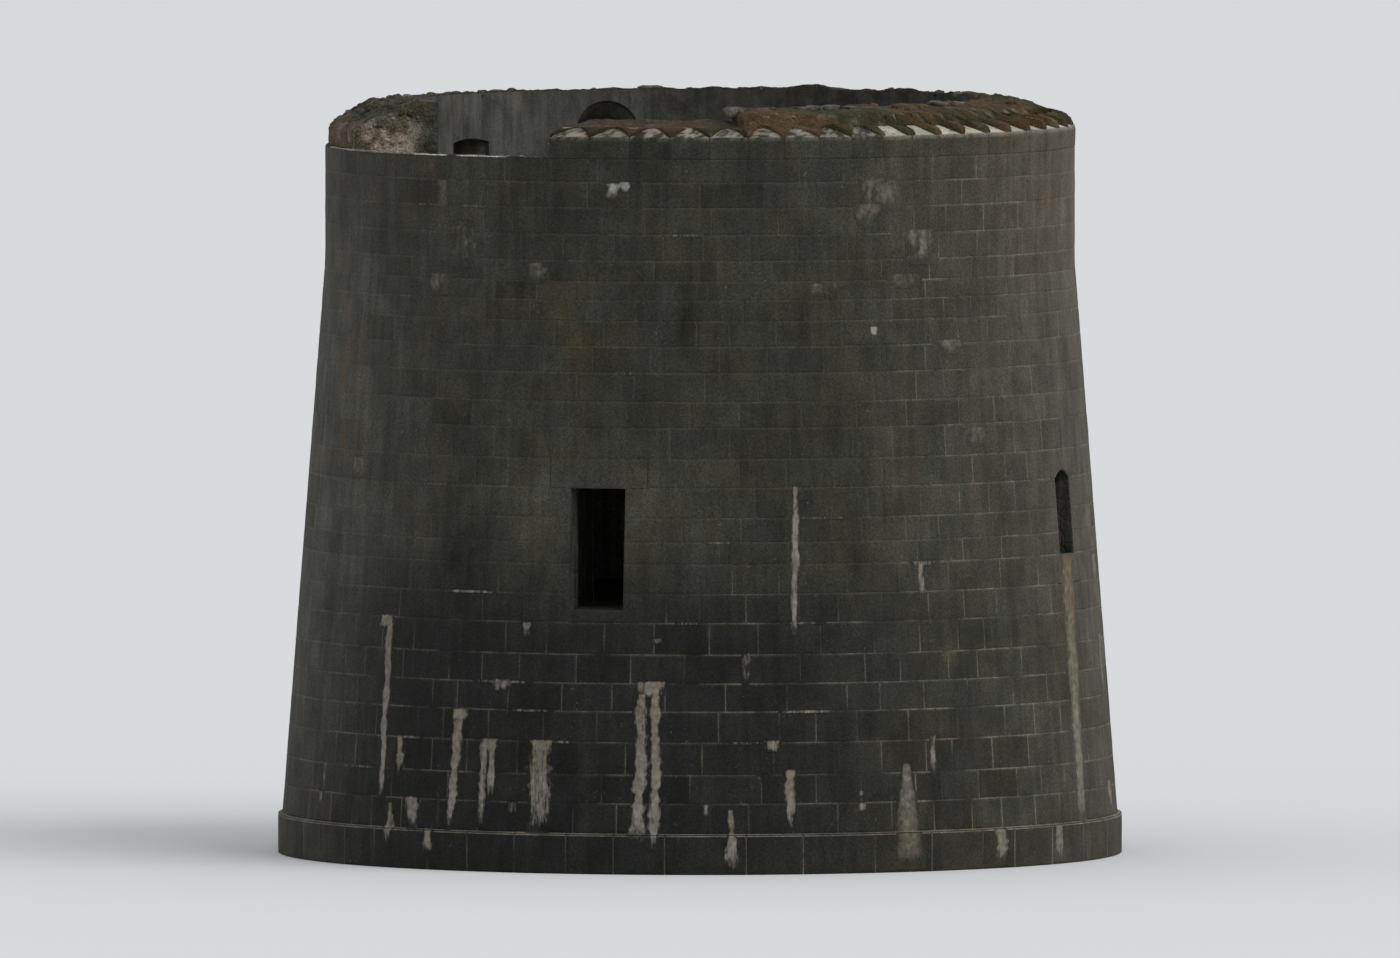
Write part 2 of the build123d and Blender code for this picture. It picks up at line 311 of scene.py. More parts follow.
def wall_colour(bearing, level, shade, base):
    """The stone's colour at a place on the wall, before the shader's fine grain."""
    bearing = signed(bearing)
    damp = weather_side(bearing)
    turned_left = smooth(bearing, 50, -30) if bearing > -90 else smooth(bearing, -180, -110)
    colour = blend(DRY_STONE, GREY_STONE, turned_left)
    high_right = smooth(level, 8.6, 9.9) * smooth(bearing, 34, 60) * smooth(bearing, 150, 110)
    colour = blend(colour, WARM_STONE, high_right)
    colour = blend(colour, DAMP_STONE, damp)
    foot = smooth(level, 5, 3.3)
    if bearing < 0:
        foot *= smooth(bearing, -62, -24)
        low_left = smooth(level, 2.7, 1.2) * smooth(bearing, -22, -46) * smooth(bearing, -100, -60)
        colour = colour * (1 - 0.16 * smooth(level, 8.3, 9.8) * (1 - damp)) * (1 - 0.3 * low_left)
    else:
        foot *= 1 - 0.5 * smooth(bearing, 22, 44) - 0.5 * smooth(bearing, 44, 96)
        low_right = smooth(level, 3.6, 2.2) * smooth(bearing, 70, 86) * smooth(bearing, 150, 110)
        colour = colour * (1 - 0.12 * low_right)
    colour = blend(colour, FOOT_STONE, foot)
    light = 1 + 0.1 * grain(base, 2.6, 0.1) + 0.06 * grain(base, 9, 0.1)
    light += 0.15 * grain(base, 0.8, 0.6) + 0.14 * grain(base, 4, 0.7)
    for centre, height, half_width, half_height, strength, tint in WALL_MARKS:
        aside = abs(bearing - centre) / half_width
        above = abs(level - height) / half_height
        if aside < 2 and above < 2:
            share = exp(-1.2 * (aside**2 + above**2)) * (1 + 0.5 * grain(base, 7))
            light += strength * share
            if tint:
                colour = blend(colour, tint, min(0.8, 0.42 * share))
    return colour * max(0.3, light * shade)


def lime_strength(bearing, level, base):
    """How much pale lime shows in the joints: most near the foot and on the dry side."""
    bearing = signed(bearing)
    strength = 0.1 + 0.26 * smooth(level, 4.5, 3.5) + 0.46 * smooth(bearing, 36, 58)
    strength += 0.2 * smooth(bearing, -45, -75)
    beside_door = smooth(abs(bearing - 1.5), 17, 11) * smooth(level, 3.8, 3.95) * smooth(level, 6.7, 6.3)
    strength *= 1 - 0.9 * beside_door
    return clamp(strength * (0.66 + 1.5 * grain(base, 1.5) + 1.1 * grain(base, 6)))


def joint_colour(bearing, level, base):
    # The joint is painted 12% lighter than the stone. This is partly the mortar's own paler tone and
    # partly painted light that offsets the shade in the joint's recess. Pale lime is then blended in.
    stone = wall_colour(bearing, level, 1.12, base)
    return blend(stone, JOINT_LIME, lime_strength(bearing, level, base))


def coping_joint_colour(bearing, level, base):
    """Dark in the coping's bed joint, and like the stones between them."""
    return wall_colour(bearing, level, 0.7 if level < coping_bed + 0.02 else 0.95, base)


# The courses of squared stone, and the joints between them

SIDES = ["front", "right", "back", "left"]
lower_shapes = {side: Shape() for side in SIDES}
upper_shapes = {side: Shape() for side in SIDES}
joint_shapes = {side: Shape() for side in SIDES}
dressed_shape = Shape()
coping_shape = Shape()


def side_of(bearing):
    """Which quarter of the tower a bearing is in."""
    return SIDES[int(((bearing + 45) % 360) // 90)]


def course_gaps(bottom, top):
    """The openings and dressed stones that a course meets: bearing of the middle, half width."""
    middle = (bottom + top) / 2
    gaps = []
    if door_sill_bed - 0.05 < middle < door_head:
        gaps.append((0, door_half_width))
    if door_head < middle < lintel_top:
        gaps.append((0, lintel_half_width))
    for bearing in (-window_bearing, window_bearing):
        if window_sill < middle < window_head_bed:
            gaps.append((bearing, window_width / 2))
        elif window_sill_bed - 0.02 < middle < window_head_top:
            gaps.append((bearing, window_stone_half_width))
    return sorted(gaps)


def share_out(start, end, radius, older):
    """Cuts a stretch of a course into stones that break joint with the course below."""
    places = [start]
    clearance = degrees(joint_stagger / radius)
    while True:
        step = degrees(draw.triangular(shortest_block, longest_block, usual_block) / radius)
        place = places[-1] + step
        if any(abs(signed(place - joint)) < clearance for joint in older):
            place += 1.5 * clearance
        if place > end - degrees(shortest_block / radius):
            break
        places.append(place)
    if end - places[-1] > degrees(1.25 * longest_block / radius):
        places.append((places[-1] + end) / 2)
    return places + [end]


def fixed(value):
    return lambda _: value


def edge_of(centre, half_width, bottom):
    """The bearing, at each level, of an upright edge that stands half_width right of a bearing."""
    return lambda level: centre + half_angle(half_width, level or bottom)


def add_wall_stone(shape, left, right, bottom, top, shade, proud=block_proud, step=block_step):
    """Adds one stone of the round wall. left and right give a bearing at a level (or, for 0, at
    the stone's foot), and bottom and top a level at a bearing."""
    middle = (left(0) + right(0)) / 2
    low = min(bottom(left(0)), bottom(right(0)))
    radius = wall_radius((low + top(middle)) / 2)
    length = radians(right(low) - left(low)) * radius

    def place(u, v):
        bearing = blend(left(low), right(low), u)
        level = blend(bottom(bearing), top(bearing), v)
        bearing = blend(left(level), right(level), u)
        return at(bearing, wall_radius(level), level), outward(bearing)

    def colour(base, ring, v):
        bearing = bearing_of(base)
        if ring == 0:
            return joint_colour(bearing, base.z, base)
        tone = wall_colour(bearing, base.z, shade, base)
        if ring > 2:
            return tone
        edge = lime_strength(bearing, base.z, base) * (0.22 if v > 0.5 else 0.1)
        return blend(tone, JOINT_LIME, edge)

    height = top(middle) - bottom(middle)
    add_stone_face(
        shape, length, height, place, colour, proud, block_bevel, block_sink, step, block_relief
    )


def stone_shade():
    """A stone's own lightness: most are alike, and a few are plainly darker or lighter."""
    shade = draw.gauss(1, 0.058)
    if draw.random() < 0.08:
        shade *= draw.uniform(0.82, 0.92)
    elif draw.random() < 0.05:
        shade *= draw.uniform(1.08, 1.2)
    return max(0.6, shade)


def add_joint(bearings, levels, tint=joint_colour, relief=0):
    """Adds a strip of mortar that lies in a joint, a little behind the stones' faces."""
    def place(level, bearing):
        base = at(bearing, wall_radius(level), level)
        depth = mortar_proud + 0.002 * grain(base, 25) + relief * grain(base, 3.1)
        return base + outward(bearing) * depth, tint(bearing, level, base)

    joint_shapes[side_of(bearings[len(bearings) // 2])].sheet(levels, bearings, place)


def add_course(bottom, top, older):
    """Adds one course all round, cut where openings and dressed stones stand in it."""
    degrees_per_step = 0.9
    steps_per_strip = 40
    radius = wall_radius((bottom + top) / 2)
    half_joint = degrees(joint_width / 2 / radius)
    half_bed = joint_width / 2 + 0.003
    shapes = lower_shapes if bottom < door_sill_bed - 0.01 else upper_shapes
    wrap_start = 180 + draw.uniform(-2, 2)
    stops = [(wrap_start - 360, 0)] + course_gaps(bottom, top) + [(wrap_start, 0)]
    joints = []
    for (before, before_half), (after, after_half) in pairwise(stops):
        low = before + half_angle(before_half, bottom)
        high = after - half_angle(after_half, bottom)
        places = share_out(low, high, radius, older)
        for k, (left, right) in enumerate(pairwise(places)):
            after_gap = k == 0 and before_half
            edges = [fixed(left + half_joint), fixed(right - half_joint)]
            if after_gap:
                edges[0] = edge_of(before, before_half, bottom)
            if k == len(places) - 2 and after_half:
                edges[1] = edge_of(after, -after_half, bottom)
            add_wall_stone(
                shapes[side_of((left + right) / 2)], *edges,
                fixed(bottom + joint_width / 2), fixed(top - joint_width / 2), stone_shade(),
            )
            if not after_gap:
                joints.append(left)
                half = half_joint * 1.4
                add_joint([left - half, left + half], [bottom, (bottom + top) / 2, top])
        bearings = steps(low, high, max(2, round((high - low) / degrees_per_step)))
        for first in range(0, len(bearings) - 1, steps_per_strip):
            strip = bearings[first : first + steps_per_strip + 1]
            add_joint(strip, [bottom - half_bed, bottom + half_bed])
    return joints


def add_walls():
    older = []
    for bottom, top in pairwise(bed_levels + [coping_bed]):
        older = add_course(bottom, top, older)
    for start in range(-180, 180, 10):
        bearings = [start + k for k in range(11)]
        add_joint(bearings, [coping_bed - 0.01, coping_bed + 0.003], coping_joint_colour)


def add_plinth():
    """The plinth's long stones, with a worn chamfer and a limy ledge on top."""
    height = plinth_top + 0.004
    fold = chamfer_start / height
    half_joint = degrees(joint_width / 2 / plinth_radius)
    places = share_out(-180, 180, plinth_radius / 1.25, [])
    for left, right in pairwise(places):
        shade = stone_shade()

        def place(u, v):
            bearing = blend(left + half_joint, right - half_joint, u)
            level = v * height
            inset = max(0, level - chamfer_start)
            out = outward(bearing) + (up if inset > 0.01 else up * 0)
            return at(bearing, plinth_radius - inset, level), out.normalized()

        def colour(base, ring, v):
            bearing = bearing_of(base)
            tone = wall_colour(bearing, base.z, shade, base)
            tone = tone * blend(1.08, 0.8, smooth(bearing, 28, 48) * smooth(bearing, 160, 120))
            worn = 0.8 + 0.5 * grain(base, 3)
            return blend(tone, LIME, min(1, worn * smooth(v, fold, fold + 0.006)))

        add_stone_face(
            lower_shapes[side_of((left + right) / 2)], radians(right - left) * plinth_radius,
            plinth_top, place, colour, block_proud, bevel=0.008, sink=block_sink, step=block_step,
            relief=0.004, folds=(fold - 0.004, fold, fold + 0.006),
        )
        add_joint([left - half_joint * 1.5, left + half_joint * 1.5], [0, 0.3, plinth_top - 0.04])


def add_dressed_stones():
    """The faces of the lintel, the door sill and the windows' sills and heads."""
    edge = 0.004
    half_joint = joint_width / 2

    def block(centre, half_width, bottom, top, arch=None):
        low = bottom + half_joint

        def lower(bearing):
            if arch is None:
                return low
            aside = radians(bearing - centre) * wall_radius(bottom) / (window_width / 2)
            return max(low, bottom + arch * max(0, 1 - aside**2)) if abs(aside) < 1 else low

        add_wall_stone(
            dressed_shape, edge_of(centre, edge - half_width, bottom),
            edge_of(centre, half_width - edge, bottom), lower, fixed(top - half_joint), shade=1.06,
            proud=block_proud + 0.001, step=0.03 if arch else block_step,
        )

    block(0, lintel_half_width, door_head - half_joint, lintel_top)
    block(0, door_sill_half_width, door_sill_bed, floor_level + half_joint)
    for bearing in (-window_bearing, window_bearing):
        block(bearing, window_stone_half_width, window_sill_bed, window_sill + half_joint)
        head_bed = window_head_bed - half_joint
        block(bearing, window_stone_half_width, head_bed, window_head_top, window_arch_height)


# Lime that has run down the wall from its joints. Each run: bearing and level of its head,
# bearing and level of its foot, its width in degrees at both, and how thick it lies. Some
# rows go on with how rusty the head and the foot are, the colour, and how ragged it is
LIME_RUNS = [
    (-35.8, 3.77, -35.8, 3.56, 3, 2.8, 1), (-34.9, 3.66, -34.7, 1, 1.5, 1, 1),
    (-31.5, 1.98, -31.4, 1.36, 1.5, 0.9, 0.9), (-20.4, 2.42, -20.4, 2.2, 2.6, 2, 1),
    (-20.7, 2.26, -21.6, 0.6, 1.7, 0.9, 1), (-15.6, 1.99, -15.6, 1.78, 2.9, 2.6, 1),
    (-16.3, 1.86, -16.4, 0.66, 1.2, 1, 0.9), (-14.9, 1.9, -15, 1.08, 1.3, 0.9, 1),
    (-7.6, 1.99, -7.6, 1.76, 3.6, 3.4, 0.9), (-7.6, 1.84, -7.5, 0.6, 3.4, 2.6, 0.62),
    (-8.6, 1.84, -8.4, 0.8, 0.7, 0.6, 0.8), (-6.9, 1.84, -7, 0.62, 0.8, 0.7, 0.8),
    (8.1, 2.88, 8.1, 2.62, 3.2, 2.8, 1), (7, 2.7, 6.4, 0.45, 1.4, 2, 0.85),
    (8.8, 2.75, 8.7, 0.36, 1.3, 1.3, 1), (29, 5.78, 28.7, 4.4, 0.7, 1.1, 0.95),
    (28.75, 4.7, 28.3, 3.52, 1, 0.6, 0.85), (49.2, 4.63, 49.2, 4.55, 4.4, 4, 0.6),
    (48.4, 4.6, 48.3, 4.06, 1.1, 0.7, 0.9), (27.6, 1.56, 27.3, 0.62, 1.5, 0.9, 1),
    (19.1, 0.97, 19.4, 0.02, 0.6, 2, 0.8), (49.1, 2.02, 49.1, 1.38, 1, 0.7, 0.6),
    (60.2, 0.62, 60, 0.04, 1.8, 2, 0.85), (72.8, 0.62, 72.9, 0.03, 2, 2.2, 0.8),
    (81.7, 4.6, 80.8, 0.58, 4.2, 2.2, 0.7, 0.95, 0.1, LIME, 0.45),
    (94.5, 1.15, 94.5, 0.68, 3, 2.4, 0.8), (95.5, 3.35, 95.5, 2.4, 2.2, 2, 0.55),
    (96, 4.55, 96, 4.1, 2.2, 2, 0.6), (-28.3, 1.08, -28, 0.58, 2.4, 1.8, 0.85),
    (-32.8, 0.98, -32.6, 0.3, 1, 2.2, 0.75), (-25, 0.62, -24.9, 0.24, 2, 1.4, 0.85),
    (25, 2, 25, 1.82, 2.6, 1.6, 0.75), (-14, 2.88, -14.2, 2.7, 3, 1.8, 0.7),
    (-10.4, 3.74, -10.4, 3.5, 1.3, 0.7, 0.6), (21.4, 3.3, 21.4, 2.8, 1.2, 0.8, 0.35),
    (15.8, 1.05, 15.8, 0.86, 0.7, 0.6, 0.7), (9, 3.52, 9, 3.44, 1.6, 1.2, 0.6),
    (-49.5, 1.5, -49.5, 1.05, 1, 0.8, 0.5), (-50.3, 1.06, -50.3, 0.86, 1.6, 1, 0.6),
    (-11.6, 1.06, -11.6, 0.88, 1.4, 1, 0.5), (37.6, 1.24, 37.6, 1.14, 0.6, 0.6, 0.7),
    (37.6, 1.05, 37.6, 0.92, 0.8, 0.8, 0.7),
]

# Thin lines of lime along bed joints: bearing of the middle, level, width in degrees, strength.
# Each is moved to the joint nearest to its level
LIME_LINES = [
    (-20, 4.12, 9, 0.75), (-14.4, 2.86, 7, 0.6), (-9, 2.41, 7, 0.45),
    (30.5, 2.42, 6.5, 0.7), (-29.2, 1.96, 4.5, 0.6), (-39, 1.56, 6, 0.5),
    (-4.8, 1.97, 2.4, 0.6), (17.8, 5.12, 3, 0.4), (34, 5.13, 7, 0.3), (22, 1.97, 4, 0.4),
    (-28, 5.55, 5, 0.3), (30, 3.72, 5, 0.3), (13, 3.72, 4, 0.4), (-44, 3.5, 5, 0.3),
    (13, 9.55, 5, 0.35), (-30, 9.9, 6, 0.3), (-22, 9.9, 5, 0.35), (4, 7.4, 3, 0.25),
]

# Soft pinkish patches of lichen, in rows that start as the runs' do
LICHEN_PATCHES = [
    (43.8, 10.38, 43.2, 9.86, 7, 5, 0.46), (42, 9.98, 41, 9.6, 4.2, 2.6, 0.4),
    (50.9, 9.58, 51, 9.04, 4.8, 4.4, 0.5), (46.9, 8.92, 46.9, 8.7, 4.6, 3.6, 0.36),
    (-27.8, 10.3, -27.8, 9.8, 2.4, 2, 0.38), (-28.2, 8.9, -28.6, 8.58, 5, 2.4, 0.3),
    (-11, 9.1, -11, 8.78, 3.6, 2.6, 0.28), (33, 8.8, 33, 8.6, 3, 2.4, 0.34),
    (56, 7.92, 56, 7.68, 4, 3, 0.4), (-46, 6.1, -46, 5.8, 4, 3, 0.35),
    (-24, 9.7, -24, 9, 4, 4, 0.25), (60, 6.6, 60, 6.3, 4, 3, 0.3),
]

# A fan of thin lime that spreads to the plinth's foot, and white specks high on the wall
WHITE_STAINS = [
    (44.7, 1.62, 44.6, 1, 1, 2.7, 0.62, 0, 0, LIME, 0.15),
    (44.6, 1.24, 44.4, 0.04, 2.3, 4.5, 0.52, 0, 0.6, LIME, 0.15),
    (1.9, 10.3, 1.2, 10.04, 2.4, 1.4, 0.62, 0, 0, BRIGHT_LIME, 1),
    (3.4, 10.32, 3.6, 10.16, 1.8, 1.2, 0.8, 0, 0, BRIGHT_LIME, 1),
    (42, 8.14, 42, 8, 1.1, 1, 1, 0, 0, BRIGHT_LIME, 0.2),
]


def wall_surface_radius(level):
    """The wall's outer radius, with the plinth's chamfer rounded into it."""
    if chamfer_start < level <= plinth_top + 0.01:
        return plinth_radius - (level - chamfer_start)
    return wall_radius(level)


def add_lime_run(
    shape, head, head_level, foot, foot_level, head_width, foot_width, strength,
    rusty_head=0.45, rusty_foot=0, colour=LIME, rough=1,
):
    """Adds one thin crust of lime, ragged at its edges and thickest in its middle."""
    row_step = 0.025
    column_step = 0.018
    length = head_level - foot_level
    width = radians(max(head_width, foot_width)) * foot_radius
    rows = []
    for share in steps(0, 1, max(4, round(length / row_step))):
        level = blend(foot_level, head_level, share)
        middle = blend(foot, head, share)
        place = at(middle, foot_radius, level)
        half = blend(foot_width, head_width, share) / 2
        half *= 1 + rough * (0.45 * grain(place, 4) + 0.35 * grain(place, 13))
        middle += rough * half * (0.45 * grain(place, 2.2) + 0.25 * grain(place, 6.5))
        rust = blend(rusty_foot, rusty_head, smooth(share, 0, 1) ** 2)
        fade = smooth(level - foot_level, -0.02, min(0.35, 0.5 * length))
        fade *= smooth(head_level - level, -0.01, 0.02)
        row = []
        for aside in steps(-1, 1, max(6, round(width / column_step))):
            bearing = middle + aside * half * 1.3
            base = at(bearing, wall_surface_radius(level), level)
            ragged = rough * (0.35 * grain(base, 14, 0.3) + 0.2 * grain(base, 45, 0.5))
            cover = fade * (strength * (1 - 0.9 * aside**2) + ragged * (0.5 + 0.6 * strength))
            cover = clamp(cover) * (1 - smooth(abs(aside), 0.65, 1))
            depth = block_proud + blend(0.006 + 0.004 * cover, -0.002, smooth(abs(aside), 0.75, 1))
            tone = wall_colour(bearing, level, 1, base)
            crust = blend(colour, RUSTY_LIME, rust * (1 + 0.6 * grain(base, 5)))
            row.append(shape.point(base + outward(bearing) * depth, tone, cover, crust))
        rows.append(row)
    shape.grid(rows)


# The coping, and the tongues of earth on its joints

coping_slope = (coping_crest - rim_level) / (top_radius - coping_inner_radius)
coping_count = 48
coping_relief = 0.01
coping_half_joint = degrees(0.005 / top_radius)


def coping_joint(k):
    """The bearing of a joint of the coping. The stones near the breach are the longest."""
    most_shift = 1.9
    shifted_span = 115
    along = k * (coping_loss_start + 360 - breach_end) / coping_count
    shift = most_shift * sin(tau * along / shifted_span) if along < shifted_span else 0
    return breach_end + along + shift


coping_joints = [coping_joint(k) for k in range(coping_count + 1)]


def add_coping():
    """The coping's stones: dark faces, and tops white with lichen between tongues of earth."""
    face_height = rim_level - coping_bed
    top_depth = hypot(top_radius - coping_inner_radius, coping_crest - rim_level)
    total = face_height + top_depth
    for left, right in pairwise(coping_joints):
        add_joint(
            [left - 2 * coping_half_joint, left + 2 * coping_half_joint],
            [coping_bed, (coping_bed + rim_level) / 2, rim_level - 0.012],
            coping_joint_colour, coping_relief,
        )
        shade = stone_shade()
        lift = draw.uniform(-0.001, 0.003)
        white = draw.uniform(0.8, 1.1)
        bright = smooth(left, 38, 46) * (1 - 0.5 * smooth(left, 100, 130))

        def place(u, v):
            bearing = blend(left + coping_half_joint, right - coping_half_joint, u)
            run = v * total
            if run < face_height:
                return at(bearing, top_radius, coping_bed + run), outward(bearing)
            share = (run - face_height) / top_depth
            radius = blend(top_radius, coping_inner_radius, share)
            out = (outward(bearing) * coping_slope + up).normalized()
            return at(bearing, radius, blend(rim_level, coping_crest, share)), out

        def colour(base, ring, v):
            tone = wall_colour(bearing_of(base), min(base.z, rim_level), shade, base)
            top = smooth(v * total, face_height - 0.015, face_height + 0.03)
            if ring == 0:
                return blend(tone, EARTH, 0.7 * top)
            patches = smooth(grain(base, 7) + 0.8 * grain(base, 24), 0.28, -0.12)
            patches = blend(patches, smooth(grain(base, 8) + 0.5 * grain(base, 23), 0.75, 0.15), bright)
            return blend(tone, blend(GREY_LICHEN, WHITE_LICHEN, bright) * white, 0.95 * top * patches)

        add_stone_face(
            coping_shape, radians(right - left) * top_radius, total, place, colour,
            block_proud + lift, bevel=0.005, sink=0.003, step=0.055, relief=coping_relief,
        )


def joint_phase(bearing):
    """0 at a joint of the coping and 1 at the middle of a stone."""
    bearing = breach_end + (bearing - breach_end) % 360
    for left, right in pairwise(coping_joints):
        if left <= bearing < right:
            return 1 - abs(2 * (bearing - left) / (right - left) - 1)
    return 0


def earth_edge_radius(bearing):
    """How far out the earth lies on the coping: tongues of it cover the stones' joints."""
    place = at(bearing, top_radius, rim_level)
    phase = joint_phase(bearing)
    straight = 1 - smooth(phase, 0.28, 0.46)
    reach = blend((1 - phase) ** 1.5, straight, smooth(signed(bearing), 40, 46) if bearing < 100 else 1)
    ragged = (0.05 * grain(place, 3) + 0.03 * grain(place, 11)) * (1 - 0.6 * reach)
    return min(top_radius - 0.015, coping_inner_radius + 0.02 + 0.42 * reach + ragged)


# The colours of the parapet's top


def earth_colour(base):
    """Brown earth with olive moss and pale grit, and painted shade along the crest of the far side."""
    moss = smooth(grain(base, 1.1) + 0.5 * grain(base, 4), -0.15, 0.35)
    colour = blend(EARTH, MOSS, moss)
    pale = smooth(grain(base + Vector((7, 3, 1)), 5.5), 0.3, 0.6)
    colour = blend(colour, RUBBLE, 0.35 * pale)
    bearing = bearing_of(base) % 360
    # Painted shade: along the far side's crest the earth is darkened most of the way to dark stone,
    # standing in for shadow there.
    far_crest_painted_shade = smooth(bearing, 112, 130) * smooth(bearing, 268, 258) * smooth(base.xy.length, 4.75, 4.55)
    colour = blend(colour, DARK_STONE_AND_SHADE, 0.85 * far_crest_painted_shade)
    return gritty(colour, base, (0.45, 9), (0.25, 22))


def worn_earth_colour(base):
    return earth_colour(base) * 0.68


def rubble_colour(base):
    """Broken core: pale mortar and grey and pink stone, with brown earth washed over it."""
    earthy = smooth(grain(base, 1.6) + 0.6 * grain(base, 6), 0.05, 0.45)
    return gritty(blend(RUBBLE, EARTH * 1.3, 0.85 * earthy), base, (0.5, 11), (0.3, 27))


def core_colour(base):
    """The top of the broken core: dark olive stone and brown earth, with a little pale mortar."""
    brown = smooth(grain(base, 1.9) + 0.5 * grain(base, 5), 0, 0.4)
    colour = blend(Vector((0.04, 0.04, 0.032)), EARTH * 1.1, 0.6 * brown)
    colour = blend(colour, LIMB_EARTH, smooth(base.xy.length, top_radius - 0.35, top_radius - 0.15))
    pale = smooth(grain(base + Vector((3, 9, 2)), 4), 0.35, 0.65)
    return gritty(blend(colour, RUBBLE, 0.5 * pale), base, (0.5, 11), (0.3, 27))


def core_face_colour(base):
    """The core's broken end: pale mortar low in its middle, brown outside, olive above."""
    radius = base.xy.length
    wander = 0.12 * grain(base, 3)
    pale = smooth(radius + wander, 4.45, 4.78) * smooth(radius + wander, 5.54, 5.24)
    pale *= smooth(base.z + wander, coping_bed + 0.56, coping_bed + 0.34)
    brown = smooth(radius, 5.28, 5.48) * smooth(base.z, coping_bed + 0.5, coping_bed + 0.3)
    earthy = smooth(grain(base, 2.5) + 0.6 * grain(base, 7), 0.05, 0.55)
    mortar = gritty(blend(RUBBLE * 1.3, LIMB_EARTH, 0.85 * earthy), base, (0.25, 9), (0.15, 25))
    return blend(blend(core_colour(base), LIMB_EARTH, brown), mortar, pale)


# White mortar left along the edge of the upper wall: start, end and how white it is
EDGE_MORTAR = [(-66, -51.6, 0.85), (-51.6, -34.4, 0.35), (-34.4, -27.4, 1), (-24.8, -16, 0.95)]


def edge_whiteness(bearing):
    return max(
        strength * smooth(bearing, start - 0.7, start + 0.7) * smooth(bearing, end + 0.7, end - 0.7)
        for start, end, strength in EDGE_MORTAR
    )


def breach_colour(base):
    """The breach's bed: white mortar along its outer edge, and grit and earth behind it."""
    radius = base.xy.length
    white = smooth(radius, top_radius - 0.14, top_radius - 0.07) * edge_whiteness(bearing_of(base))
    behind = smooth(radius, top_radius - 0.1, top_radius - 0.25)
    colour = blend(DAMP_STONE * 1.2, rubble_colour(base) * 0.5, behind)
    return blend(colour, WHITE_LICHEN, clamp(white * (0.9 + 0.5 * grain(base, 9))))


# The parapet's rough top. Each outline runs from the outer edge in, as (radius, level)


def parapet_outline(bearing):
    """The solids' top at a bearing: the coping where there is one, and the parapet inside it."""
    bearing = signed(bearing)
    inner = parapet_inner_radius
    face = top_radius - rubble_ledge_width
    if coping_loss_start <= bearing < breach_start:
        return [(face, coping_bed), (face - 0.012, coping_bed + rubble_face_height),
                (bank_radius, bank_level), (inner, crest_level)]
    if breach_start <= bearing < breach_end:
        return [(top_radius, coping_bed), (coping_inner_radius, coping_bed - 0.05),
                (inner, coping_bed - 0.14)]
    if breach_end <= bearing < worn_crest_end:
        return [(top_radius, rim_level), (coping_inner_radius, coping_crest - 0.02),
                ((inner + coping_inner_radius) / 2, worn_crest_level - 0.05), (inner, worn_crest_level)]
    return [(top_radius, rim_level), (coping_inner_radius, coping_crest),
            (bank_radius, bank_level), (inner, crest_level)]


def outline_level(outline, radius):
    """The level of an outline at a radius."""
    for (outer, outer_level), (inner, inner_level) in pairwise(outline):
        if radius >= inner:
            return blend(outer_level, inner_level, max(0, (outer - radius) / (outer - inner)))
    return outline[-1][1]


def top_place(bearing, radius, lift=0):
    """A point on the parapet's top."""
    return at(bearing, radius, outline_level(parapet_outline(bearing), radius) + lift)


def outline_path(outline, outer, shares):
    """Points along an outline from an outer radius in, each with the way out of the solid."""
    inner = parapet_inner_radius + 0.015
    corners = [(outer, outline_level(outline, outer))]
    corners += [corner for corner in outline if inner < corner[0] < outer]
    corners.append((inner, outline_level(outline, inner)))
    lengths = [dist(a, b) for a, b in pairwise(corners)]
    places = []
    for share in shares:
        left = share * sum(lengths)
        k = 0
        while k < len(lengths) - 1 and left > lengths[k]:
            left -= lengths[k]
            k += 1
        (outer_r, outer_z), (inner_r, inner_z) = corners[k], corners[k + 1]
        part = left / lengths[k]
        way = ((inner_z - outer_z) / lengths[k], (outer_r - inner_r) / lengths[k])
        places.append((blend(outer_r, inner_r, part), blend(outer_z, inner_z, part), way))
    return places


# Heaps of earth that stand out of the parapet's top: bearing, radius, half width and height
HEAPS = [
    (106, 4.47, 0.17, 0.115), (103, 5.12, 0.13, 0.045), (110, 4.3, 0.15, 0.06),
    (-76, 4.57, 0.13, 0.1), (-80, 4.95, 0.2, 0.05), (-73, 4.35, 0.12, 0.05),
    (172, 4.3, 0.6, 0.05), (150, 4.28, 0.5, 0.03), (122, 4.35, 0.4, 0.05),
]


def heap_height(base):
    return sum(
        height * exp(-2.2 * ((base - at(bearing, radius, base.z)).length / half) ** 2)
        for bearing, radius, half, height in HEAPS
    )


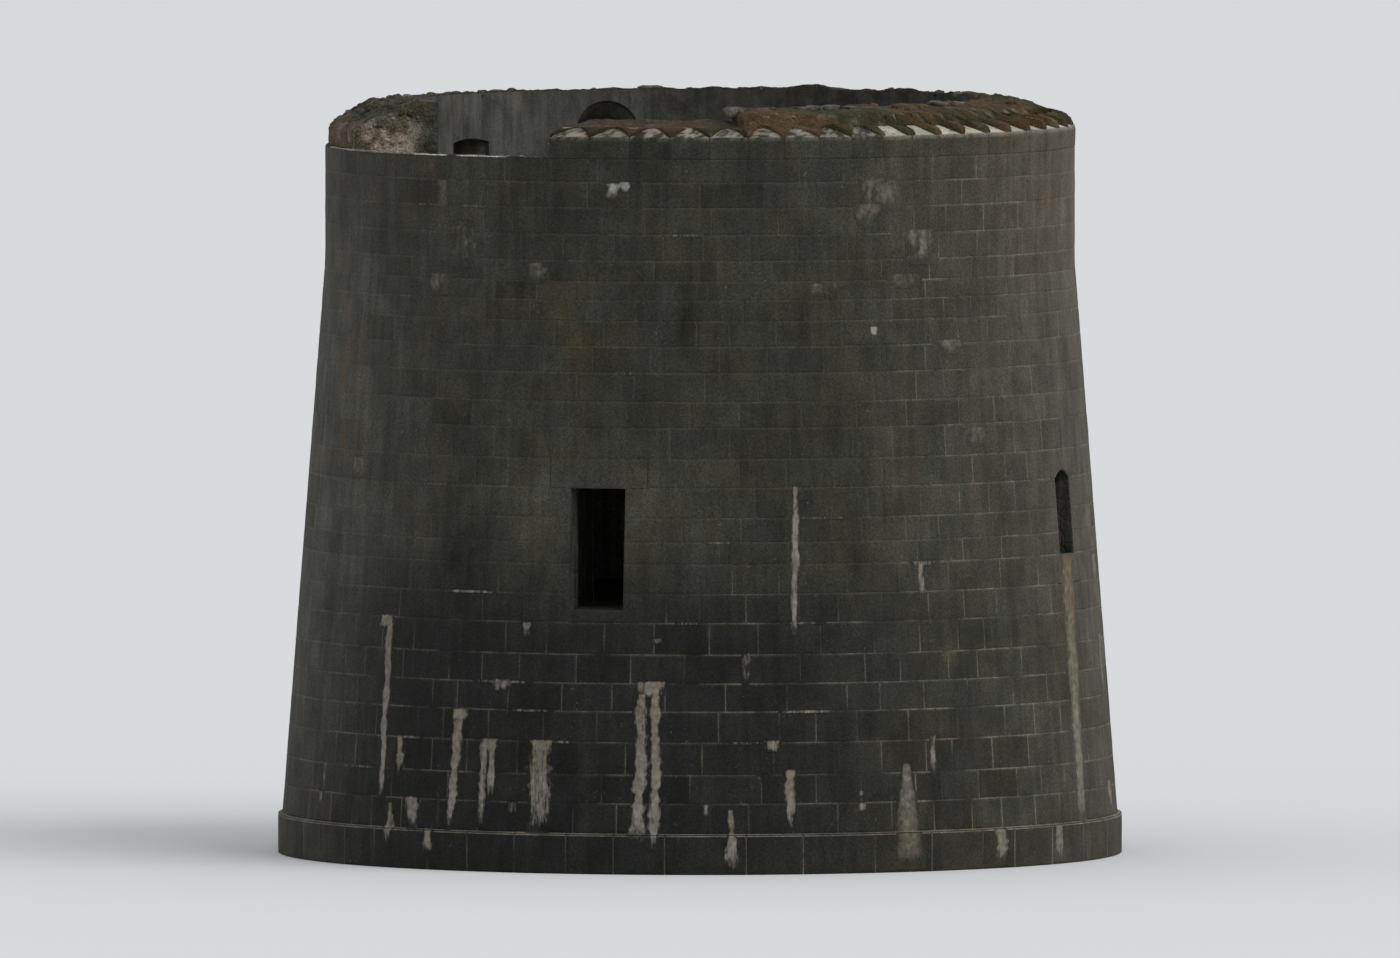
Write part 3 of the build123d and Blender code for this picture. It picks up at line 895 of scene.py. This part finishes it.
def add_parapet_top(shape, start, end, edge_radius, colour, lumps, step=0.48, rows=14, tongues=1):
    """Adds the rough top of the parapet between two bearings, down to its inner edge."""
    columns = max(2, round((end - start) / step))
    shares = [0] + [share**1.15 for share in steps(0, 1, rows)]
    lines = []
    for k in [0, *range(columns + 1), columns]:
        at_end = k in (0, columns) and len(lines) in (0, columns + 2)
        bearing = blend(start, end, k / columns)
        outline = parapet_outline(min(max(bearing, start + 1e-6), end - 1e-6))
        tongue = tongues * (0.04 + 0.05 * smooth(bearing, 44, 80) - 0.065 * smooth(bearing, 112, 130))
        line = []
        for j, (radius, level, way) in enumerate(outline_path(outline, edge_radius(bearing), shares)):
            base = at(bearing, radius, level)
            lift = 0.016 + 0.02 * grain(base, 1.9) + 0.02 * grain(base, 5.5) + 0.012 * grain(base, 14)
            lift += lumps * max(0, grain(base, 2.3) + 0.15)
            on_coping = smooth(radius, coping_inner_radius, coping_inner_radius + 0.1)
            lift += tongue * on_coping * smooth(radius, top_radius, top_radius - 0.1)
            lift = -0.03 if j == 0 or at_end else max(0.004, lift)
            lifted = base + outward(bearing) * (way[0] * lift) + up * (way[1] * lift)
            lifted.z += 0 if at_end else heap_height(base)
            line.append(shape.point(lifted, colour(base)))
        # Painted shade: the lip where the top turns down into the inner face is darkened to 70%.
        lip = at(bearing, parapet_inner_radius + 0.004, outline[-1][1] - 0.05)
        line.append(shape.point(lip, colour(lip) * 0.7))
        lines.append(line)
    shape.grid(lines[::-1])


def add_end_face(shape, bearing, direction, bottom, tint):
    """The rough broken end of a stretch of parapet, which looks along direction (1 or -1)."""
    outline = parapet_outline(bearing - direction * 0.2)
    along = outward(bearing + 90 * direction)
    columns = 30
    rows = 14

    def place(j, k):
        radius = blend(outline[0][0], parapet_inner_radius, k / columns)
        top = outline_level(outline, radius) + 0.02
        base = at(bearing, radius, blend(bottom, top, j / rows))
        bulge = (0.045 + 0.06 * grain(base, 3.3) + 0.04 * grain(base, 9)) * (1 - 0.85 * (j / rows) ** 4)
        on_edge = k in (0, columns) or j == rows
        return base + along * (-0.02 if on_edge else max(0.006, bulge)), tint(base)

    across = range(columns + 1)
    shape.sheet(range(rows + 1), across if direction < 0 else across[::-1], place)


def add_ledge(shape):
    """Mortar and earth on the ledge of the upper wall, where only the coping is lost."""
    def place(share, bearing):
        radius = blend(top_radius + 0.006, top_radius - rubble_ledge_width, share)
        base = at(bearing, radius, coping_bed)
        lift = -0.006 if share == 0 else 0.012 + 0.008 * grain(base, 9)
        white = clamp(edge_whiteness(bearing) * (0.9 + 0.5 * grain(base, 7)))
        return base + up * lift, blend(LIMB_EARTH * 0.8, WHITE_LICHEN, white)

    columns = round((breach_start - coping_loss_start) / 0.5)
    shape.sheet((0, 0.15, 0.4, 0.7, 1), steps(coping_loss_start, breach_start, columns), place)


def add_breach_bed(shape):
    """The bed that the lost stretch of parapet stood on, with loose stones on it."""
    outline = parapet_outline((breach_start + breach_end) / 2)
    shares = [0, 0, 0.02, 0.05, 0.08, 0.12] + steps(0.2, 1, 8)
    lines = []
    for bearing in steps(breach_start, breach_end, round((breach_end - breach_start) / 0.5)):
        line = []
        for j, share in enumerate(shares):
            radius = blend(top_radius + 0.012, parapet_inner_radius + 0.01, share)
            base = at(bearing, radius, outline_level(outline, radius))
            lift = 0.016 + 0.014 * grain(base, 4) + 0.01 * grain(base, 13)
            lift = -0.004 if j == 0 else max(0.004, lift)
            line.append(shape.point(base + up * lift, breach_colour(base)))
        # Painted shade: the lip where the bed turns down into the inner face is darkened to 60%.
        lip = at(bearing, parapet_inner_radius + 0.002, outline[-1][1] - 0.04)
        line.append(shape.point(lip, rubble_colour(lip) * 0.6))
        lines.append(line)
    shape.grid(lines[::-1])
    stone_count = 110
    for k in range(stone_count):
        bearing = draw.uniform(breach_start + 0.5, breach_end - 0.5)
        radius = draw.uniform(parapet_inner_radius + 0.1, top_radius - 0.15)
        size = draw.triangular(0.02, 0.075, 0.03)
        centre = top_place(bearing, radius, 0.3 * size)
        add_rough_stone(shape, centre, size, squash=0.6, colour=rubble_colour(centre), seed=k + 1000)


# Loose and broken stones


def unit_ball():
    """The points and faces of a small round ball, the start of each broken stone."""
    ball = bmesh.new()
    bmesh.ops.create_icosphere(ball, subdivisions=2, radius=1)
    points = [vertex.co.copy() for vertex in ball.verts]
    faces = [[vertex.index for vertex in face.verts] for face in ball.faces]
    ball.free()
    return points, faces


stone_points, stone_faces = unit_ball()


def add_rough_stone(shape, centre, size, squash, colour, seed, square=0.45):
    """Adds one broken stone: a ball pushed towards a block and roughened, a little flattened."""
    turn = draw.uniform(0, tau)
    first = len(shape.points)
    offset = Vector((3.7, 1.3, 2.9)) * seed
    for point in stone_points:
        push = 1 + 0.36 * noise.noise(point * 1.3 + offset) + 0.16 * noise.noise(point * 3.1 + offset)
        push *= max(abs(point.x), abs(point.y), abs(point.z)) ** -square * 0.9
        x = point.x * push * size
        y = point.y * push * size * 0.75
        place = centre + Vector((
            x * cos(turn) - y * sin(turn),
            x * sin(turn) + y * cos(turn),
            point.z * push * size * squash,
        ))
        shape.point(place, gritty(colour, place, (0.35, 14), (0.2, 40)))
    for face in stone_faces:
        shape.faces.append(tuple(first + k for k in face))


# Flat pale stones that show along the crest: bearing, radius, size and lightness
CREST_SLABS = [
    (38, 4.35, 0.17, 1), (42, 4.32, 0.19, 1.2), (46, 4.36, 0.15, 0.9), (70, 4.34, 0.2, 1.1),
    (75.5, 4.38, 0.18, 1.3), (28, 4.4, 0.12, 0.8), (128, 4.4, 0.2, 0.9), (205, 4.4, 0.2, 0.9),
    (238, 4.5, 0.17, 0.8),
]


def add_crest_stones(shape):
    """Loose stones half sunk in the earth, most of them along the crest."""
    stone_count = 170
    for k in range(stone_count):
        bearing = draw.uniform(worn_crest_end, coping_loss_start + 360)
        near_crest = draw.random() < 0.6
        radius = draw.uniform(4.25, 4.55) if near_crest else draw.uniform(4.5, 5)
        size = draw.triangular(0.03, 0.11, 0.05)
        centre = top_place(bearing, radius, size * draw.uniform(-0.1, 0.2))
        colour = blend(earth_colour(centre) * 1.1, RUBBLE * 0.5, draw.random() * 0.5)
        add_rough_stone(shape, centre, size, draw.uniform(0.5, 0.8), colour, seed=k)
    for bearing, radius, size, light in CREST_SLABS:
        centre = top_place(bearing, radius, 0.12 * size)
        seed = round(bearing) + 300
        add_rough_stone(shape, centre, size, squash=0.28, colour=SLAB_STONE * light, seed=seed, square=0.7)


def add_stub_stone(shape):
    """The pale squared stone that stands where the worn crest meets the whole one."""
    half_width = 0.165
    half_height = 0.085
    faces_bearing = 15
    side = outward(faces_bearing + 90)
    for k in range(3):
        centre = at(worn_crest_end - 0.3, 4.55, worn_crest_level + 0.055 + half_height)
        centre -= outward(worn_crest_end) * (0.2 * k)
        colour = Vector((0.1, 0.097, 0.082)) * (1 - 0.2 * k)
        first = len(shape.points)
        squash = half_height / half_width
        add_rough_stone(shape, centre, half_width, squash, colour, seed=500 + k, square=0.85)
        for place, *_ in shape.points[first:]:
            along = (place - centre).dot(side)
            place -= side * (along - max(-half_width, min(half_width, along)))


def add_broken_core(shape):
    """The stones and mortar of the core where the parapet's facing is lost."""
    stone_count = 520
    for k in range(stone_count):
        bearing = draw.uniform(coping_loss_start + 0.5, breach_start - 0.8)
        radius = draw.uniform(parapet_inner_radius + 0.1, top_radius - 0.14)
        size = draw.triangular(0.03, 0.12, 0.05)
        centre = top_place(bearing, radius, size * draw.uniform(-0.2, 0.25))
        colour = core_colour(centre) * draw.uniform(0.7, 1.3)
        add_rough_stone(shape, centre, size, squash=0.65, colour=colour, seed=k + 200)


def add_face_stones(shape, bearing, inner, outer):
    """Broken stones and mortar of the core, in the end face that looks towards the doorway."""
    stone_count = 70
    outline = parapet_outline(bearing - 0.2)
    for k in range(stone_count):
        radius = draw.uniform(inner, outer)
        level = draw.uniform(coping_bed, outline_level(outline, radius) - 0.06)
        size = draw.triangular(0.02, 0.065, 0.03)
        centre = at(bearing, radius, level) + outward(bearing + 90) * 0.022
        colour = core_face_colour(centre) * draw.uniform(0.85, 1.15)
        add_rough_stone(shape, centre, size, squash=0.7, colour=colour, seed=k + 800)


# The gun platform's slabs and the first floor's boards


def add_paving(shape):
    rings = [0.03, 0.55, 1.2, 1.85, 2.5, 3.1, 3.68, parapet_inner_radius - 0.01]
    slab_length = 0.85
    gap = 0.008
    for inner, outer in pairwise(rings):
        count = max(6, round(tau * outer / slab_length))
        turn = draw.uniform(0, 360)
        half_joint = degrees(gap / outer)
        for k in range(count):
            left = turn + 360 * k / count
            right = left + 360 / count
            shade = draw.uniform(0.7, 1.2)
            lift = draw.uniform(-0.003, 0.004)

            def place(u, v):
                bearing = blend(left + half_joint, right - half_joint, u)
                return at(bearing, blend(outer - gap, inner + gap, v), platform_level), up

            def colour(base, ring, v):
                dirt = smooth(grain(base, 0.9) + 0.5 * grain(base, 3.5), -0.1, 0.5)
                tone = blend(DRY_STONE * 1.5, EARTH, 0.7 * dirt)
                return tone * shade * (0.6 if ring <= 1 else 1 + 0.25 * grain(base, 9))

            add_stone_face(
                shape, tau * outer / count, outer - inner, place, colour,
                proud=0.012 + lift, bevel=0.008, sink=0.004, step=0.22, relief=0.006,
            )


def add_boards(shape):
    reach = upper_room_radius - 0.01
    width = 0.185
    shortest = 0.25
    gap = 0.003
    count = int(2 * reach / width)
    for k in range(count):
        side = -reach + (k + 0.5) * (2 * reach / count)
        far = abs(side) + width / 2
        if far >= reach:
            continue
        half = sqrt(reach**2 - far**2)
        cut = draw.uniform(-0.6, 0.6) * half
        for start, end in ((-half, cut), (cut, half)):
            if end - start < shortest:
                continue
            shade = draw.uniform(0.65, 1.25)

            def place(u, v):
                x = blend(start + 0.002, end - 0.002, u)
                return Vector((x, side + (v - 0.5) * (width - 2 * gap), floor_level)), up

            def colour(base, ring, v):
                streak = noise.noise(Vector((base.x * 1.5, base.y * 40, k)))
                return Vector((0.085, 0.066, 0.046)) * shade * (1 + 0.3 * streak)

            add_stone_face(
                shape, end - start, width, place, colour,
                proud=0.004, bevel=0.003, sink=0.002, step=0.5, relief=0.002,
            )


# Materials


def set_inputs(node, values):
    for key, value in values.items():
        node.inputs[key].default_value = value


class Shader:
    """A material, and short ways to add nodes to it."""

    def __init__(self, name, roughness=0.9):
        self.material = bpy.data.materials.new(name)
        self.material.use_nodes = True
        self.tree = self.material.node_tree
        self.surface = self.tree.nodes["Principled BSDF"]
        set_inputs(self.surface, {"Roughness": roughness, "Specular IOR Level": 0.12})
        self.position = self.tree.nodes.new("ShaderNodeTexCoord").outputs["Object"]

    def add(self, kind, inputs, output=0, **settings):
        node = self.tree.nodes.new("ShaderNode" + kind)
        for key, value in settings.items():
            setattr(node, key, value)
        for key, value in inputs.items():
            if isinstance(value, bpy.types.NodeSocket):
                self.tree.links.new(value, node.inputs[key])
            else:
                node.inputs[key].default_value = value
        return node.outputs[output]

    def attribute(self, name, output="Color"):
        return self.add("Attribute", {}, output, attribute_name=name)

    def stretched(self, *scale):
        return self.add("VectorMath", {0: self.position, 1: scale}, operation="MULTIPLY")

    def radius(self):
        """The distance from the tower's axis."""
        return self.add("VectorMath", {0: self.stretched(1, 1, 0)}, 1, operation="LENGTH")

    def noise(self, scale, detail=3, stretch=None):
        where = self.stretched(*stretch) if stretch else self.position
        return self.add("TexNoise", {"Vector": where, "Scale": scale, "Detail": detail})

    def spread(self, value, low, high, to_low=0, to_high=1):
        inputs = {0: value, 1: low, 2: high, 3: to_low, 4: to_high}
        return self.add("MapRange", inputs, interpolation_type="SMOOTHSTEP")

    def patches(self, scale, detail, ends, to=(0, 1), stretch=None):
        """Noise that is spread from two ends to two values."""
        return self.spread(self.noise(scale, detail, stretch), *ends, *to)

    def math(self, operation, a, b=0):
        return self.add("Math", {0: a, 1: b}, operation=operation)

    def plus(self, a, b):
        return self.math("ADD", a, b)

    def times(self, product, *factors):
        for factor in factors:
            product = self.math("MULTIPLY", product, factor)
        return product

    def lighten(self, colour, value):
        """The colour times a value."""
        return self.add("VectorMath", {0: colour, "Scale": value}, operation="SCALE")

    def mix(self, share, *colours):
        a, b = (c if isinstance(c, bpy.types.NodeSocket) else (*c, 1.0) for c in colours)
        return self.add("Mix", {0: share, 6: a, 7: b}, 2, data_type="RGBA")

    def finish(self, colour, height, distance):
        """Sets the colour and a bump of a height, and gives the material."""
        bump = self.add("Bump", {"Height": height, "Distance": distance, "Strength": 1})
        self.tree.links.new(colour, self.surface.inputs["Base Color"])
        self.tree.links.new(bump, self.surface.inputs["Normal"])
        return self.material


def weathered(shader, colour, streaks, grit):
    """The colour with downward streaks, blotches, mineral grit and a drift of hue worked in."""
    light = shader.times(
        shader.patches(7, 4, (0.3, 0.7), (1 - streaks, 1 + streaks), (1, 1, 0.07)),
        shader.patches(2.2, 4, (0.3, 0.7), (0.86, 1.14)),
        shader.patches(38, 3, (0.3, 0.7), (1 - grit, 1 + grit)),
    )
    hue = shader.mix(shader.patches(1.6, 4, (0.35, 0.65)), (1.05, 1, 0.92), (0.975, 1, 0.995))
    tinted = shader.add("VectorMath", {0: colour, 1: hue}, operation="MULTIPLY")
    return shader.lighten(tinted, light)


def stone_material(name, streaks, grit, height, speckle=0.5):
    """Stone that takes its colour from the mesh, with grit, lichen specks and a rough face."""
    shader = Shader(name)
    colour = weathered(shader, shader.attribute("stone_colour"), streaks, grit)
    place = shader.times(shader.patches(1.3, 2, (0.5, 0.72)), speckle)
    specks = shader.times(shader.patches(21, 2, (0.66, 0.74)), place)
    colour = shader.mix(specks, colour, (0.15, 0.145, 0.12))
    flecks = shader.patches(17, 3, (0.62, 0.72), stretch=(1, 1, 0.7))
    rusty = shader.patches(0.75, 3, (0.52, 0.66), (0, speckle))
    colour = shader.mix(shader.times(flecks, rusty), colour, RUST_LICHEN)
    rough = shader.plus(shader.noise(16, 6), shader.times(shader.noise(70), 0.35))
    return shader.finish(colour, rough, height)


def crust_material(name, soft):
    """A crust whose cover attribute says how much it hides the stone under it."""
    shader = Shader(name)
    stone = weathered(shader, shader.attribute("stone_colour"), streaks=0.12, grit=0.3)
    cover = shader.attribute("cover", "Fac")
    rough = shader.noise(9, 5) if soft else shader.noise(30, 5, (1, 1, 0.35))
    trickle = shader.noise(22, 4, (1, 1, 0.6)) if soft else shader.noise(42, 3, (1, 1, 0.06))
    uneven = shader.math("SUBTRACT", shader.plus(rough, shader.times(trickle, 0.9)), 0.95)
    edge = shader.plus(cover, shader.times(uneven, 0.6 if soft else 1))
    edge = shader.spread(edge, 0 if soft else 0.08, 0.95 if soft else 0.9)
    share = shader.times(edge, shader.spread(cover, 0, 0.3 if soft else 0.12))
    light = shader.patches(11, 4, (0.3, 0.7), (0.68, 1.12))
    colour = shader.mix(share, stone, shader.lighten(shader.attribute("crust_colour"), light))
    return shader.finish(colour, rough, 0.004)


def rubble_masonry(name, pale, dark, cell=2.6, height=0.01, limed=0, room=None):
    """Rough inside walling: uneven stones in mortar, with damp streaks, and limewash in a room."""
    shader = Shader(name)
    drift = shader.add("TexNoise", {"Vector": shader.position, "Scale": 1.5}, 1)
    warp = shader.add("VectorMath", {0: shader.stretched(1, 1, 1.7), 1: drift}, operation="ADD")
    cells = {"Vector": warp, "Scale": cell}
    edge = shader.add("TexVoronoi", cells, "Distance", feature="DISTANCE_TO_EDGE")
    tone = shader.add("SeparateXYZ", {0: shader.add("TexVoronoi", cells, "Color")})
    mortar = shader.spread(edge, 0.02, 0.07, 1, 0)
    colour = shader.mix(mortar, shader.mix(tone, dark, pale), blend(Vector(pale), LIME, limed))
    if room:
        inside = shader.spread(shader.radius(), room + 0.02, room + 0.06, 1, 0)
        worn = shader.patches(1.7, 5, (0.6, 0.72), (1, 0.5))
        colour = shader.mix(shader.times(inside, worn), colour, LIMEWASH)
    body = shader.plus(shader.spread(edge, 0, 0.12), shader.times(shader.noise(14, 5), 0.4))
    return shader.finish(weathered(shader, colour, streaks=0.3, grit=0.25), body, height)


def parapet_inside_material():
    """The parapet's inner face: pale old render towards the left, and elsewhere dark stone whose darkness
    is partly painted shade.
    """
    shader = Shader("parapet_inside")
    x = shader.add("SeparateXYZ", {0: shader.position}, "X")
    turn = shader.math("ARCTAN2", x, shader.times(x.node.outputs["Y"], -1))
    turn = shader.plus(turn, shader.times(shader.math("SUBTRACT", shader.noise(1.6, 4), 0.5), 0.8))
    last = radians(-60)
    pale = shader.times(
        shader.spread(turn, radians(-178), radians(-112)), shader.spread(turn, last, last - 0.2)
    )
    # This dark colour is partly the wet stone's own dark tone and partly painted shade.
    dark = shader.mix(shader.patches(3, 3, (0.4, 0.6)), DARK_STONE_AND_SHADE * 1.2, DARK_STONE_AND_SHADE * 1.8)
    stains = shader.patches(5, 4, (0.3, 0.7), stretch=(1, 1, 0.3))
    render = shader.mix(stains, (0.047, 0.049, 0.046), (0.083, 0.085, 0.08))
    colour = shader.mix(pale, dark, render)
    deep = shader.spread(shader.radius(), parapet_inner_radius + 0.03, parapet_inner_radius + 0.12)
    colour = shader.mix(deep, colour, (0.135, 0.135, 0.125))
    return shader.finish(weathered(shader, colour, streaks=0.18, grit=0.2), shader.noise(9, 6), 0.012)


def timber_material():
    shader = Shader("old_timber", 0.75)
    fibre = shader.noise(6, 5, (1, 14, 14))
    colour = shader.mix(shader.spread(fibre, 0.3, 0.7), (0.045, 0.033, 0.022), (0.12, 0.092, 0.062))
    return shader.finish(weathered(shader, colour, streaks=0.15, grit=0.15), fibre, 0.004)


def board_material():
    shader = Shader("floor_boards", 0.75)
    fibre = shader.noise(9, 5, (0.6, 9, 9))
    light = shader.spread(fibre, 0.3, 0.7, 0.65, 1.3)
    return shader.finish(shader.lighten(shader.attribute("stone_colour"), light), fibre, 0.003)


def plain_stone(name, colour):
    shader = Shader(name)
    tint = shader.mix(shader.patches(1.2, 3, (0.35, 0.65)), colour * 0.8, colour * 1.15)
    return shader.finish(weathered(shader, tint, streaks=0.25, grit=0.35), shader.noise(18, 6), 0.008)


# Make the pieces


def build_walls():
    granite = stone_material("weathered_granite", streaks=0.12, grit=0.3, height=0.01)
    mortar = stone_material("joint_mortar", streaks=0.12, grit=0.3, height=0.006, speckle=0.2)
    add_plinth()
    add_walls()
    add_dressed_stones()
    add_coping()
    for side in SIDES:
        lower_shapes[side].build(f"lower_stones_{side}", granite, "wall_stone")
        upper_shapes[side].build(f"upper_stones_{side}", granite, "wall_stone")
        joint_shapes[side].build(f"mortar_joints_{side}", mortar, "wall_stone")
    dressed_shape.build("dressed_stone_faces", granite, "dressed_stone")


def build_lime():
    half_line = 0.022
    lines = []
    for middle, level, width, strength in LIME_LINES:
        bed = min(bed_levels, key=lambda joint: abs(joint - level))
        lines.append((middle, bed + half_line, middle, bed - half_line, width, width, strength))
    patches = [(*patch, 0, 0, PINK_LICHEN, 1.3) for patch in LICHEN_PATCHES]
    for name, runs, material in (
        ("lime_runs", LIME_RUNS + lines, crust_material("lime_crust", soft=False)),
        ("lichen_patches", patches + WHITE_STAINS, crust_material("soft_stains", soft=True)),
    ):
        shape = Shape()
        for run in runs:
            add_lime_run(shape, *run)
        shape.build(name, material, "wall_stone")


def build_parapet():
    coping_stone = stone_material("coping_granite", streaks=0.1, grit=0.3, height=0.012)
    coping_shape.build("coping_stones", coping_stone, "coping_stone", sharp=40)
    earth = stone_material("earth_and_rubble", streaks=0.05, grit=0.45, height=0.03)
    whole, worn, broken, breach = (Shape() for _ in range(4))
    whole_end = coping_loss_start + 360
    add_parapet_top(whole, worn_crest_end, whole_end, earth_edge_radius, earth_colour, lumps=0.05)
    add_end_face(whole, worn_crest_end, -1, worn_crest_level - 0.1, earth_colour)
    add_crest_stones(whole)
    add_stub_stone(whole)
    add_parapet_top(
        worn, breach_end, worn_crest_end, earth_edge_radius, worn_earth_colour, lumps=0.03
    )
    add_end_face(worn, breach_end, -1, coping_bed - 0.1, core_colour)
    add_parapet_top(
        broken, coping_loss_start, breach_start, fixed(top_radius - rubble_ledge_width), core_colour,
        lumps=0.05, step=0.4, rows=24, tongues=0,
    )
    add_ledge(broken)
    add_end_face(broken, breach_start, 1, coping_bed - 0.1, core_face_colour)
    add_face_stones(broken, breach_start, inner=4.5, outer=5.52)
    add_broken_core(broken)
    add_breach_bed(breach)
    for name, shape in (
        ("parapet_earth_whole", whole), ("parapet_earth_worn", worn),
        ("parapet_broken_core", broken), ("breach_bed", breach),
    ):
        shape.build(name, earth, "parapet_stone", sharp=180)


def build_floors():
    slabs = Shape()
    add_paving(slabs)
    paving = stone_material("platform_slabs", streaks=0.05, grit=0.35, height=0.008)
    slabs.build("gun_platform_slabs", paving, "paving_stone")
    boards = Shape()
    add_boards(boards)
    boards.build("first_floor_planks", board_material(), "floor_wood")


def dress_solids():
    """Gives each solid the material of what shows of it."""
    pale, dark = (0.058, 0.056, 0.049), (0.036, 0.035, 0.031)
    walling = rubble_masonry("inside_walling", pale, dark, limed=0.05)
    room_walling = rubble_masonry("room_walling", pale, dark, room=upper_room_radius)
    dressed = plain_stone("dressed_granite", DAMP_STONE)
    bedding = plain_stone("coping_bedding", DAMP_STONE * 0.7)
    kinds = {
        "plinth": walling, "lower_wall": walling, "upper_wall": room_walling, "front_wall": room_walling,
        "ground_floor": plain_stone("ground_flags", DRY_STONE * 1.3), "door": dressed, "window": dressed,
        "vault": rubble_masonry("vault_limewash", LIMEWASH, (0.28, 0.273, 0.25), cell=3.2, height=0.02),
        "gun_platform": bedding, "coping": bedding, "parapet": parapet_inside_material(),
        "first_floor": timber_material(),
    }
    for name, node in nodes.items():
        kind = next(start for start in kinds if name.startswith(start))
        node.data.materials.clear()
        node.data.materials.append(kinds[kind])


# Stage, light and camera


def make_stage():
    bpy.ops.mesh.primitive_circle_add(vertices=96, radius=500, fill_type="NGON", location=(0, 0, -0.002))
    floor = bpy.context.object
    floor.name = "floor"
    material = bpy.data.materials.new("pale_floor")
    material.use_nodes = True
    surface = material.node_tree.nodes["Principled BSDF"]
    values = {"Base Color": (0.6, 0.61, 0.62, 1), "Roughness": 1, "Specular IOR Level": 0}
    set_inputs(surface, values)
    floor.data.materials.append(material)


def stand(name, data, azimuth, elevation, distance=0, aim=(0, 0, 0)):
    """Adds a lamp or a camera that looks at a point from a bearing, a slope and a distance."""
    slope = radians(elevation)
    back = outward(azimuth) * cos(slope) + up * sin(slope)
    thing = bpy.data.objects.new(name, data)
    scene.collection.objects.link(thing)
    thing.location = Vector(aim) + back * distance
    thing.rotation_mode = "QUATERNION"
    thing.rotation_quaternion = back.to_track_quat("Z", "Y")
    return thing


def make_light():
    """An even pale sky, a little dimmer as the camera sees it, and one soft lamp on the right."""
    world = bpy.data.worlds.new("soft_studio")
    scene.world = world
    world.use_nodes = True
    tree = world.node_tree
    background = tree.nodes["Background"]
    set_inputs(background, {"Color": (0.97, 0.98, 1, 1)})
    path = tree.nodes.new("ShaderNodeLightPath")
    strength = tree.nodes.new("ShaderNodeMapRange")
    set_inputs(strength, {"To Min": 0.85, "To Max": 0.8})
    tree.links.new(path.outputs["Is Camera Ray"], strength.inputs["Value"])
    tree.links.new(strength.outputs["Result"], background.inputs["Strength"])
    key = bpy.data.lights.new("key", "SUN")
    key.energy = 1.5
    key.angle = radians(50)
    key.color = (1, 0.985, 0.96)
    stand("key", key, azimuth=72, elevation=42)


def make_camera():
    """A long lens, far off and a little above the tower's middle."""
    lens = bpy.data.cameras.new("camera")
    lens.lens = 972
    lens.clip_start = 10
    lens.clip_end = 2000
    scene.camera = stand("camera", lens, azimuth=15, elevation=2.65, distance=570, aim=(0, 0, 5.62))
    scene.view_settings.view_transform = "Standard"


build_walls()
build_lime()
build_parapet()
build_floors()
dress_solids()
make_stage()
make_light()
make_camera()
